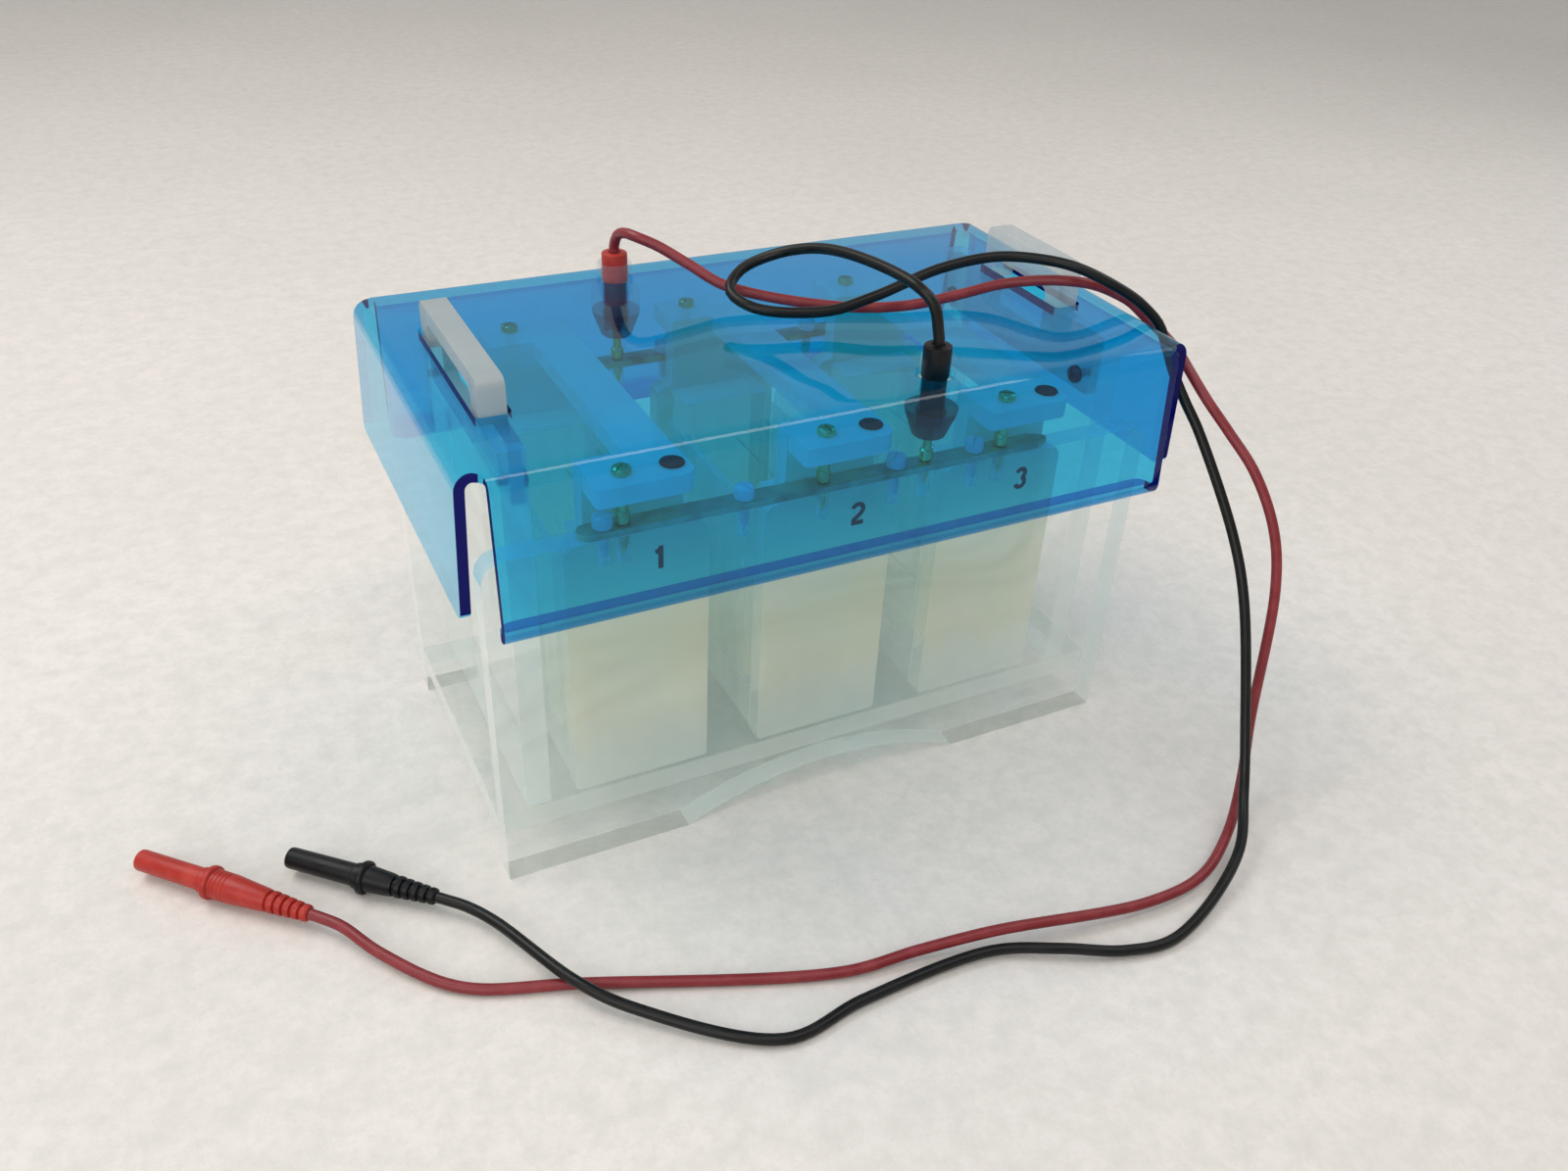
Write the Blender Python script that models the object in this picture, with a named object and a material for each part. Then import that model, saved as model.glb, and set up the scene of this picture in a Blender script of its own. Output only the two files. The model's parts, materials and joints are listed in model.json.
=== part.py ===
"""Upright gel electrophoresis tank for three mini-gel cores, with its folded safety lid and two test leads.

Metres, +Z up. The origin is at the middle of the tank's footprint, on the surface it stands on.
+X runs along the tank's length and -Y is the front, where the cathode bar and the lane numbers are.
"""

import math

import bmesh
import bpy
from mathutils import Vector

# Driving dimensions of the tank
TANK_LENGTH = 0.340
TANK_DEPTH = 0.170
TANK_HEIGHT = 0.177
PLATE = 0.012  # acrylic sheet of the tank
GAP = 0.0003  # between pieces that touch
PLATE_CORNER = 0.010
ARCH_HALF = 0.078
ARCH_RISE = 0.0175
FLOOR_BOTTOM = 0.018
FLOOR_TOP = FLOOR_BOTTOM + PLATE
INNER_Y = TANK_DEPTH / 2 - PLATE

# End walls and the two handles bolted to them
WALL_OUTER_X = 0.1556
WALL_INNER_X = WALL_OUTER_X - PLATE
LAP_X = WALL_OUTER_X - PLATE / 2
SHOULDER_Z = 0.2197  # the lid rests here
LAP_Z = 0.190
FINGER_Z = 0.205
FLANGE_HALF = 0.066
GRIP_CORNER = 0.0045
FINGER_CORNER = 0.004
BOLT_HOLE = 0.0024
BOLT_Y = 0.057
BOLT_Z = 0.198
HANDLES = {
    # name: (side, half length, top, thickness of the grip bar, width of a leg)
    "left_handle": (-1, 0.048, 0.2395, 0.0075, 0.012),
    "right_handle": (1, 0.033, 0.2455, 0.0155, 0.0105),
}

# Bus bars on the top edges of the front and back plates
BAR_Y = 0.0793
BAR_WIDTH = 0.0105
BAR_THICK = 0.003
BAR_BOTTOM = TANK_HEIGHT + GAP
BAR_TOP = BAR_BOTTOM + BAR_THICK
BAR_LEFT = -0.127
BAR_RIGHT = 0.112
BAR_HOLE = 0.0028
SCREW_X = {"cathode": (-0.1155, -0.050, 0.027, 0.070), "anode": (-0.024, 0.062)}
BLIND_HOLE = 0.0031
BLIND_BOTTOM = 0.162

# The three gel cores
CORE_PITCH = 0.0957
CORE_TOP = 0.204
CORE_BOTTOM = FLOOR_TOP + 0.001
EAR_BOTTOM = 0.195
EAR_REACH = 0.090
NECK = (-0.0255, 0.0195)
PANEL = (-0.035, 0.033)
PANEL_TOP = 0.168
PANEL_Y = (0.0615, 0.0715)
SPINE = (-0.004, 0.0185)
POST = (-0.0262, 0.0202)
POST_Y = 0.044
PIN_OFFSET = -0.0108
DOT_OFFSET = 0.0118
WINDOW_BOTTOM = 0.060
CASSETTE = (0.0075, 0.100, 0.100)
CASSETTE_BOTTOM = 0.055
SILL_END = 0.0283
WEDGE = (0.0286, 0.0366)

# The folded lid
LID_TOP = 0.2245
LID_SHEET = 0.0045
LID_HALF = (0.1785, 0.1005)  # to the outside of the bends
LID_BEND = 0.008
LIP_BEND = 0.0065
END_SPLAY = math.radians(2.5)
FRONT_SPLAY = math.radians(4.2)
END_HALF = 0.0925
FRONT_HALF = 0.1667
END_BOTTOM = 0.1575
FRONT_BOTTOM = 0.148
LIP_INNER = 0.0922
SLOT_HALF_X = 0.0078
BEND_STEPS = 6

# Lead sockets, plugs and pins; the cord's route starts on the plug's cap
LEADS = {"red": (-0.050, BAR_Y), "black": (0.043, -BAR_Y)}
SOCKET_HOLE = 0.0092
CAP_TOP = 0.238
CORD_RADIUS = 0.0026
CORD_POINTS = 80

# Routes of the cords in millimetres: out of the cap, over the lid, down beside the tank, along the surface
ROUTES = {
    "red": (
        (-50, 79.3, 238.3), (-50, 79.3, 241), (-49.7, 76, 247), (-49, 67, 251.5), (-46, 58, 252),
        (-38, 51, 249), (-26, 40, 242), (-12, 27, 234), (33, 0, 227.6), (65, -12, 227.6),
        (97, -14, 230), (118, -18, 234), (133, -29, 238), (145, -38.5, 239.5), (157, -43, 237.5),
        (168, -46, 233), (176, -50, 228.5), (183, -55, 221.5), (188.5, -63, 215.5), (191.5, -74, 209),
        (192.5, -86, 201), (195, -97, 192), (201, -109, 180), (207, -127, 164), (211, -144, 140),
        (211, -155, 112), (199, -173, 43), (189, -186, 18), (162, -208, 9), (133, -223, 6),
        (98, -226, 6), (18, -213, 9.5), (-18, -206, 6), (-53, -201, 3.4), (-161, -159, 3.2),
        (-208, -140, 3.2), (-235, -110, 5.6), (-248, -89, 8), (-257, -79, 8.4), (-259, -77, 8.4),
    ),
    "black": (
        (43, -79.3, 238.3), (43, -79.3, 241), (40, -77, 256), (36, -69, 262), (28, -30, 263),
        (20, -3, 259), (8, 14, 252), (-8, 18, 245), (-18, 9, 239), (-12, -6, 235),
        (20, -18, 233.5), (45, -20, 238.5), (83, -16, 246), (112, -21, 250), (133, -34, 250),
        (146, -45, 247.5), (167, -59, 236.5), (175, -63, 230), (181.5, -67, 222.5), (184, -73, 212),
        (184.6, -81, 201.5), (186.5, -91, 190), (189, -101, 179), (195, -134, 135), (194, -152, 108),
        (186, -182, 48), (177, -199, 23), (156, -222, 11), (98, -247, 3.4), (71, -244, 4),
        (43, -232, 6), (14, -219, 4.5), (-52, -218, 3.4), (-92, -222, 3.2), (-145, -184, 7),
        (-163, -163, 9.6), (-185, -114, 7.6), (-194, -101, 8.2), (-203, -91.9, 8.4), (-205, -90, 8.4),
    ),
}
TEST_PLUG_TIP = {"red": (-0.3252, -0.010), "black": (-0.2625, -0.0364)}
TEST_PLUG_Z = 0.0084

COLOURS = {
    # name: (linear colour, roughness, metallic, alpha)
    "clear_acrylic": ((0.72, 0.80, 0.78), 0.08, 0.0, 0.35),
    "blue_acrylic": ((0.02, 0.30, 0.62), 0.08, 0.0, 0.5),
    "frosted_white": ((0.78, 0.82, 0.82), 0.45, 0.0, 1.0),
    "cassette_cream": ((0.72, 0.70, 0.58), 0.5, 0.0, 1.0),
    "nylon_white": ((0.75, 0.78, 0.78), 0.4, 0.0, 1.0),
    "brass": ((0.30, 0.25, 0.13), 0.4, 1.0, 1.0),
    "gold": ((0.80, 0.60, 0.25), 0.25, 1.0, 1.0),
    "platinum": ((0.70, 0.70, 0.70), 0.2, 1.0, 1.0),
    "black_plastic": ((0.02, 0.02, 0.022), 0.4, 0.0, 1.0),
    "red_plastic": ((0.65, 0.05, 0.03), 0.4, 0.0, 1.0),
    "red_cord": ((0.36, 0.03, 0.04), 0.5, 0.0, 1.0),
    "black_cord": ((0.015, 0.015, 0.017), 0.5, 0.0, 1.0),
    "maroon_bolt": ((0.10, 0.01, 0.03), 0.4, 0.0, 1.0),
}


def clear_scene():
    for obj in list(bpy.data.objects):
        bpy.data.objects.remove(obj, do_unlink=True)


def make_material(name, colour, roughness, metallic, alpha):
    material = bpy.data.materials.new(name)
    material.use_nodes = True
    shader = material.node_tree.nodes["Principled BSDF"]
    shader.inputs["Base Color"].default_value = (*colour, 1.0)
    shader.inputs["Roughness"].default_value = roughness
    shader.inputs["Metallic"].default_value = metallic
    shader.inputs["Alpha"].default_value = alpha
    return material


def make_materials():
    return {name: make_material(name, *values) for name, values in COLOURS.items()}


def add_object(name, bm, finish=None, parent=None):
    """A mesh object made from bm, its normals pointing out."""
    bmesh.ops.recalc_face_normals(bm, faces=bm.faces)
    mesh = bpy.data.meshes.new(name)
    bm.to_mesh(mesh)
    bm.free()
    obj = bpy.data.objects.new(name, mesh)
    bpy.context.collection.objects.link(obj)
    if finish:
        mesh.materials.append(MATERIALS[finish])
    if parent:
        obj.parent = parent
    return obj


def shade_round(obj, angle=35):
    obj.data.shade_smooth()
    obj.data.set_sharp_from_angle(angle=math.radians(angle))


def rounded(points, steps=4):
    """An outline whose corners (u, v, radius) are replaced by arcs."""
    outline = []
    count = len(points)
    for i, (u, v, radius) in enumerate(points):
        corner = Vector((u, v))
        if not radius:
            outline.append((u, v))
            continue
        before = (Vector(points[i - 1][:2]) - corner).normalized()
        after = (Vector(points[(i + 1) % count][:2]) - corner).normalized()
        half = before.angle(after) / 2
        centre = corner + (before + after).normalized() * (radius / math.sin(half))
        start = corner + before * (radius / math.tan(half)) - centre
        turn = math.pi - 2 * half
        if before.x * after.y - before.y * after.x > 0:
            turn = -turn
        for step in range(steps + 1):
            angle = turn * step / steps
            cosine, sine = math.cos(angle), math.sin(angle)
            outline.append((
                centre.x + start.x * cosine - start.y * sine,
                centre.y + start.x * sine + start.y * cosine,
            ))
    return outline


def arc(centre, radius, start, end, steps):
    """Points on an arc, from start to end in degrees."""
    return [
        (
            centre[0] + radius * math.cos(math.radians(start + (end - start) * i / steps)),
            centre[1] + radius * math.sin(math.radians(start + (end - start) * i / steps)),
        )
        for i in range(steps + 1)
    ]


def prism(outline, axis, low, high):
    """A bmesh of an outline extruded along an axis. Its two values go to the other axes, in order."""
    places = {"X": (1, 2, 0), "Y": (0, 2, 1), "Z": (0, 1, 2)}[axis]
    bm = bmesh.new()
    ring = []
    for u, v in outline:
        point = [0.0, 0.0, 0.0]
        point[places[0]], point[places[1]], point[places[2]] = u, v, low
        ring.append(bm.verts.new(point))
    face = bm.faces.new(ring)
    moved = bmesh.ops.extrude_face_region(bm, geom=[face])["geom"]
    step = [0.0, 0.0, 0.0]
    step[places[2]] = high - low
    bmesh.ops.translate(bm, vec=step, verts=[g for g in moved if isinstance(g, bmesh.types.BMVert)])
    return bm


def block(low, high):
    """A bmesh of a box between two corners."""
    outline = [(low[0], low[1]), (high[0], low[1]), (high[0], high[1]), (low[0], high[1])]
    return prism(outline, "Z", low[2], high[2])


def turned(profile, centre, axis=(0, 0, 1), sides=16):
    """A bmesh turned from (radius, distance along the axis); one that leaves the axis is closed as a tube."""
    direction = Vector(axis).normalized()
    rotation = direction.to_track_quat("Z", "Y")
    bm = bmesh.new()
    rings = []
    for radius, height in profile:
        count = sides if radius > 0 else 1
        ring = []
        for i in range(count):
            angle = 2 * math.pi * i / sides
            local = Vector((radius * math.cos(angle), radius * math.sin(angle), height))
            ring.append(bm.verts.new(Vector(centre) + rotation @ local))
        rings.append(ring)
    hollow = profile[0][0] > 0
    pairs = list(zip(rings, rings[1:])) + ([(rings[-1], rings[0])] if hollow else [])
    for first, second in pairs:
        for i in range(sides):
            j = (i + 1) % sides
            corners = [first[i % len(first)], first[j % len(first)]]
            corners += [second[j % len(second)], second[i % len(second)]]
            bm.faces.new(list(dict.fromkeys(corners)))
    return bm


def solid_round(profile):
    """The profile closed onto the axis at both ends."""
    return [(0.0, profile[0][1]), *profile, (0.0, profile[-1][1])]


def combine(obj, operation, shapes):
    """Joins each bmesh to obj, or cuts it from obj, with a Boolean."""
    for i, shape in enumerate(shapes):
        helper = add_object(f"{obj.name}_{operation.lower()}_{i}", shape)
        helper.hide_render = True
        helper.display_type = "WIRE"
        modifier = obj.modifiers.new(helper.name, "BOOLEAN")
        modifier.operation = operation
        modifier.solver = "EXACT"
        modifier.object = helper


def holes(places, radius, low, high, sides=12):
    """Upright round cutters at (x, y) places."""
    return [turned(solid_round([(radius, low), (radius, high)]), (x, y, 0), sides=sides) for x, y in places]


def core_centres():
    return [(n, (n - 2) * CORE_PITCH) for n in (1, 2, 3)]


def lead_on(bar):
    return LEADS["black" if bar == "cathode" else "red"][0]


def bar_pin_places(bar):
    """The x of each contact pin that goes through a bar: one from each core and one from the lid's lead."""
    return [x + PIN_OFFSET for _, x in core_centres()] + [lead_on(bar)]


def bar_side(bar):
    return -1 if bar == "cathode" else 1


def tank_plate(name, side):
    """A long side plate: rounded top corners, an arch between its feet, blind holes in its top edge."""
    half = TANK_LENGTH / 2
    radius = (ARCH_HALF**2 + ARCH_RISE**2) / (2 * ARCH_RISE)
    swing = math.degrees(math.asin(ARCH_HALF / radius))
    corners = [(half, 0, 0), (half, TANK_HEIGHT, PLATE_CORNER), (-half, TANK_HEIGHT, PLATE_CORNER), (-half, 0, 0)]
    outline = rounded(corners)
    outline += arc((0, ARCH_RISE - radius), radius, 90 + swing, 90 - swing, 12)
    low, high = sorted((side * TANK_DEPTH / 2, side * INNER_Y))
    obj = add_object(name, prism(outline, "Y", low, high), "clear_acrylic")
    bar = "cathode" if side < 0 else "anode"
    xs = [*bar_pin_places(bar), *SCREW_X[bar]]
    blind = holes([(x, side * BAR_Y) for x in xs], BLIND_HOLE, BLIND_BOTTOM, TANK_HEIGHT + 0.01)
    combine(obj, "DIFFERENCE", blind)
    return obj


def floor_plate():
    half = TANK_LENGTH / 2
    y = INNER_Y - GAP
    return add_object("floor_plate", block((-half, -y, FLOOR_BOTTOM), (half, y, FLOOR_TOP)), "clear_acrylic")


def end_wall(name, side, handle):
    """An end wall whose top is halved in thickness where the handle's flange laps it."""
    _, half, _, _, leg = handle
    y = INNER_Y - GAP
    notch = half - leg
    low, high = sorted((side * WALL_INNER_X, side * WALL_OUTER_X))
    outline = [(-y, FLOOR_TOP + GAP), (y, FLOOR_TOP + GAP), (y, SHOULDER_Z)]
    outline += rounded([
        (notch, SHOULDER_Z, 0), (notch, FINGER_Z, FINGER_CORNER),
        (-notch, FINGER_Z, FINGER_CORNER), (-notch, SHOULDER_Z, 0),
    ])
    outline.append((-y, SHOULDER_Z))
    obj = add_object(name, prism(outline, "X", low, high), "clear_acrylic")
    lap = sorted((side * (LAP_X + GAP / 2), side * (WALL_INNER_X - 0.004)))
    reach = FLANGE_HALF + GAP
    cutter = block((lap[0], -reach, LAP_Z), (lap[1], reach, SHOULDER_Z + 0.01))
    bore = solid_round([(BOLT_HOLE, 0.140), (BOLT_HOLE, 0.1535)])
    bolt_holes = [turned(bore, (0, y_bolt, BOLT_Z), (side, 0, 0), 12) for y_bolt in (-BOLT_Y, BOLT_Y)]
    combine(obj, "DIFFERENCE", [cutter, *bolt_holes])
    return obj


def handle_plate(name, handle):
    """A frosted grip that rises through the lid's slot from a flange half as thick."""
    side, half, top, bar, leg = handle
    notch = half - leg
    bottom = LAP_Z + GAP
    outline = rounded([
        (-FLANGE_HALF, bottom, 0.002), (FLANGE_HALF, bottom, 0.002),
        (FLANGE_HALF, SHOULDER_Z, 0.002), (half, SHOULDER_Z, 0),
        (half, top, GRIP_CORNER), (-half, top, GRIP_CORNER),
        (-half, SHOULDER_Z, 0), (-FLANGE_HALF, SHOULDER_Z, 0.002),
    ])
    low, high = sorted((side * WALL_INNER_X, side * WALL_OUTER_X))
    obj = add_object(name, prism(outline, "X", low, high), "frosted_white")
    opening = rounded([
        (-notch, FINGER_Z, FINGER_CORNER), (notch, FINGER_Z, FINGER_CORNER),
        (notch, top - bar, FINGER_CORNER), (-notch, top - bar, FINGER_CORNER),
    ])
    lap = sorted((side * (LAP_X - GAP / 2), side * (WALL_OUTER_X + 0.004)))
    cutters = [
        prism(opening, "X", side * 0.149 - 0.03, side * 0.149 + 0.03),
        block((lap[0], -0.09, LAP_Z - 0.01), (lap[1], 0.09, SHOULDER_Z + GAP)),
    ]
    for y_bolt in (-BOLT_Y, BOLT_Y):
        bore = solid_round([(BOLT_HOLE, 0.13), (BOLT_HOLE, 0.17)])
        cutters.append(turned(bore, (0, y_bolt, BOLT_Z), (side, 0, 0), 12))
    combine(obj, "DIFFERENCE", cutters)
    return obj


def handle_bolts(handle_name, side):
    """Two bolts with round heads on the wall's inner face."""
    head = WALL_INNER_X - GAP
    dome = [(0.0036, head - 0.0032), (0.0045, head - 0.0024), (0.0045, head)]
    profile = dome + [(0.002, head), (0.002, 0.153)]
    for i, y_bolt in enumerate((-BOLT_Y, BOLT_Y), start=1):
        place = (0, y_bolt, BOLT_Z)
        bolt = turned(solid_round(profile), place, (side, 0, 0))
        obj = add_object(f"{handle_name}_bolt_{i}", bolt, "maroon_bolt")
        shade_round(obj)


def bus_bar(bar):
    """A flat brass strip with one round and one pointed end, drilled for its pins and screws."""
    side = bar_side(bar)
    half = BAR_WIDTH / 2
    y = side * BAR_Y
    outline = arc((BAR_LEFT + half, y), half, 270, 90, 6)
    tip = BAR_RIGHT - 0.001
    neck = BAR_RIGHT - 0.008
    outline += [(neck, y + half), (tip, y + 0.0015), (tip, y - 0.0015), (neck, y - half)]
    obj = add_object(f"{bar}_bus_bar", prism(outline, "Z", BAR_BOTTOM, BAR_TOP), "brass")
    places = [(x, y) for x in [*bar_pin_places(bar), *SCREW_X[bar]]]
    combine(obj, "DIFFERENCE", holes(places, BAR_HOLE, BAR_BOTTOM - 0.005, BAR_TOP + 0.005))
    return obj


def bar_screws(bar):
    """Nylon cap screws that hold a bar down."""
    seat = BAR_TOP + GAP
    shank = [(0.0021, 0.166), (0.0021, seat)]
    profile = shank + [(0.0045, seat), (0.0045, seat + 0.0048), (0.0036, seat + 0.006)]
    for i, x in enumerate(SCREW_X[bar], start=1):
        place = (x, bar_side(bar) * BAR_Y, 0)
        shade_round(add_object(f"{bar}_bar_screw_{i}", turned(solid_round(profile), place), "nylon_white"))


def core_body(number, x, parent):
    """One core: two end panels, side posts and a sill round the gel window, and a top frame with its ears."""
    y_low, y_high = PANEL_Y
    ear = rounded([
        (x + NECK[0], -EAR_REACH, 0.002), (x + NECK[1] - 0.004, -EAR_REACH, 0.0015),
        (x + NECK[1], -EAR_REACH + 0.004, 0.0015), (x + NECK[1], -y_low, 0), (x + NECK[0], -y_low, 0),
    ], steps=2)
    obj = add_object(f"core_{number}_body", prism(ear, "Z", EAR_BOTTOM, CORE_TOP), "frosted_white", parent)
    back_ear = [(u, -v) for u, v in reversed(ear)]
    shapes = [
        prism(back_ear, "Z", EAR_BOTTOM, CORE_TOP),
        block((x + SPINE[0], -y_low - 0.002, EAR_BOTTOM + 0.001), (x + SPINE[1], y_low + 0.002, CORE_TOP + 0.0006)),
    ]
    for side in (-1, 1):
        low, high = sorted((side * y_low, side * y_high))
        shoulder = 0.006
        panel = rounded([
            (x + PANEL[0], CORE_BOTTOM, 0.002), (x + PANEL[1], CORE_BOTTOM, 0.002),
            (x + PANEL[1], PANEL_TOP, shoulder), (x + NECK[1] + 0.0004, PANEL_TOP, 0.003),
            (x + NECK[1] + 0.0004, CORE_TOP - 0.0004, 0.001), (x + NECK[0] - 0.0004, CORE_TOP - 0.0004, 0.001),
            (x + NECK[0] - 0.0004, PANEL_TOP, 0.003), (x + PANEL[0], PANEL_TOP, shoulder),
        ], steps=3)
        shapes.append(prism(panel, "Y", low, high))
    posts = prism(rounded([
        (-y_low - 0.001, CORE_BOTTOM + 0.001, 0), (y_low + 0.001, CORE_BOTTOM + 0.001, 0),
        (y_low + 0.001, PANEL_TOP - 0.002, 0), (POST_Y, PANEL_TOP - 0.002, 0.003),
        (POST_Y, WINDOW_BOTTOM, 0.004), (-POST_Y, WINDOW_BOTTOM, 0.004),
        (-POST_Y, PANEL_TOP - 0.002, 0.003), (-y_low - 0.001, PANEL_TOP - 0.002, 0),
    ], steps=3), "X", x + POST[0], x + POST[1])
    sill_low = (x + PANEL[0] + 0.001, -y_low - 0.001, CORE_BOTTOM + 0.001)
    shapes += [posts, block(sill_low, (x + SILL_END, y_low + 0.001, CASSETTE_BOTTOM - GAP))]
    combine(obj, "UNION", shapes)
    pin_places = [(x + PIN_OFFSET, side * BAR_Y) for side in (-1, 1)]
    pin_holes = holes(pin_places, 0.0024, EAR_BOTTOM - 0.01, CORE_TOP + 0.01)
    combine(obj, "DIFFERENCE", pin_holes)
    return obj


def core_pin(number, x, side, parent):
    """A gilt contact: slotted head on the ear, tube, knurled collar on the bar and a pointed tip."""
    name = "cathode" if side < 0 else "anode"
    shelf = CORE_TOP + GAP
    under = EAR_BOTTOM - GAP
    collar = BAR_TOP + GAP
    profile = [
        (0.0007, 0.1650), (0.0021, 0.1700), (0.0021, collar), (0.0033, collar), (0.0033, collar + 0.0052),
        (0.0026, collar + 0.0060), (0.0026, under), (0.0020, under), (0.0020, shelf), (0.0042, shelf),
        (0.0042, shelf + 0.0022), (0.0030, shelf + 0.0034),
    ]
    place = (x + PIN_OFFSET, side * BAR_Y, 0)
    obj = add_object(f"core_{number}_{name}_pin", turned(solid_round(profile), place), "gold", parent)
    shade_round(obj)


def polarity_dot(number, x, parent):
    """A black disc on the front ear: it marks the cathode side."""
    bottom = CORE_TOP + GAP
    profile = solid_round([(0.0053, bottom), (0.0055, bottom + 0.0004), (0.0051, bottom + 0.0010)])
    disc = turned(profile, (x + DOT_OFFSET, -BAR_Y, 0))
    obj = add_object(f"core_{number}_polarity_dot", disc, "black_plastic", parent)
    shade_round(obj)


def cassette(number, x, side, parent):
    """A gel cassette: two plates whose inner one is shorter, with its comb step facing the core."""
    thick, width, height = CASSETTE
    inner = x + (POST[0] - GAP if side < 0 else POST[1] + GAP)
    outer = inner + side * thick
    step = inner + side * 0.0028
    bottom, top = CASSETTE_BOTTOM, CASSETTE_BOTTOM + height
    shelf = top - 0.009
    outline = [(inner, bottom), (outer, bottom), (outer, top), (step, top), (step, shelf), (inner, shelf)]
    where = "left" if side < 0 else "right"
    name = f"core_{number}_{where}_cassette"
    return add_object(name, prism(outline, "Y", -width / 2, width / 2), "cassette_cream", parent)


def tension_wedge(number, x):
    """A tapered plate that presses the cassettes against the core, with a grip on its top."""
    empty = add_empty(f"core_{number}_wedge_axis", (x + WEDGE[0], 0, CORE_BOTTOM))
    x_low, x_high = x + WEDGE[0] + GAP, x + WEDGE[1]
    outline = [
        (x_low, CORE_BOTTOM), (x_high - 0.003, CORE_BOTTOM), (x_high, 0.150), (x_high, 0.160),
        (x_low + 0.001, 0.160), (x_low, 0.150),
    ]
    obj = add_object(f"core_{number}_tension_wedge", prism(outline, "Y", -0.052, 0.052), "frosted_white")
    grip = rounded([
        (-0.020, 0.126, 0.004), (0.020, 0.126, 0.004), (0.020, 0.146, 0.004), (-0.020, 0.146, 0.004),
    ])
    combine(obj, "DIFFERENCE", [prism(grip, "X", x_low - 0.01, x_high + 0.01)])
    keep_place(obj, empty)


def electrode(number, x, name, offset, z, parent):
    """A platinum wire stretched between the core's posts."""
    reach = POST_Y - GAP
    start = Vector((x + offset, -reach, z))
    profile = solid_round([(0.0005, 0), (0.0005, 2 * reach)])
    shape = turned(profile, start, axis=(0, 1, 0), sides=8)
    shade_round(add_object(f"core_{number}_{name}_wire", shape, "platinum", parent), 80)


def add_empty(name, place):
    empty = bpy.data.objects.new(name, None)
    empty.location = place
    bpy.context.collection.objects.link(empty)
    return empty


def keep_place(obj, parent):
    """Parents obj without moving it: its mesh is already in world coordinates."""
    obj.parent = parent
    obj.matrix_parent_inverse = parent.matrix_basis.inverted()


def folded(distance, bends, sheet):
    """Where a point of the flat sheet goes when the sheet is folded.

    distance is measured from the sheet's middle along its outer face. bends holds (start, length, radius, heading
    before, heading after), in order. Returns (across, drop) for the outer face and for the inner face.
    """
    across, drop, done, heading = 0.0, 0.0, 0.0, 0.0
    for start, length, radius, before, after in bends:
        run = min(distance, start) - done
        across += run * math.cos(heading)
        drop += run * math.sin(heading)
        done += run
        if distance <= start:
            break
        share = min(1.0, (distance - start) / length)
        heading = before + (after - before) * share
        across += radius * (math.sin(heading) - math.sin(before))
        drop += radius * (math.cos(before) - math.cos(heading))
        done += length * share
        if share < 1.0:
            break
    else:
        across += (distance - done) * math.cos(heading)
        drop += (distance - done) * math.sin(heading)
    return (across, drop), (across - sheet * math.sin(heading), drop + sheet * math.cos(heading))


def lid_bends():
    """The bends of the end panels and of the front and back panels, which also turn in to a lip."""
    end_heading = math.pi / 2 - END_SPLAY
    front_heading = math.pi / 2 - FRONT_SPLAY
    end = [(LID_HALF[0] - LID_BEND, LID_BEND * end_heading, LID_BEND, 0.0, end_heading)]
    top_bend = (LID_HALF[1] - LID_BEND, LID_BEND * front_heading, LID_BEND, 0.0, front_heading)
    _, drop = folded(1e-9 + top_bend[0] + top_bend[1], [top_bend], 0)[0]
    lip_turn = math.pi - front_heading
    straight_drop = LID_TOP - FRONT_BOTTOM - drop - LIP_BEND * (1 + math.cos(front_heading))
    lip_start = top_bend[0] + top_bend[1] + straight_drop / math.sin(front_heading)
    lip_bend = (lip_start, LIP_BEND * lip_turn, LIP_BEND, front_heading, math.pi)
    return end, [top_bend, lip_bend]


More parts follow.
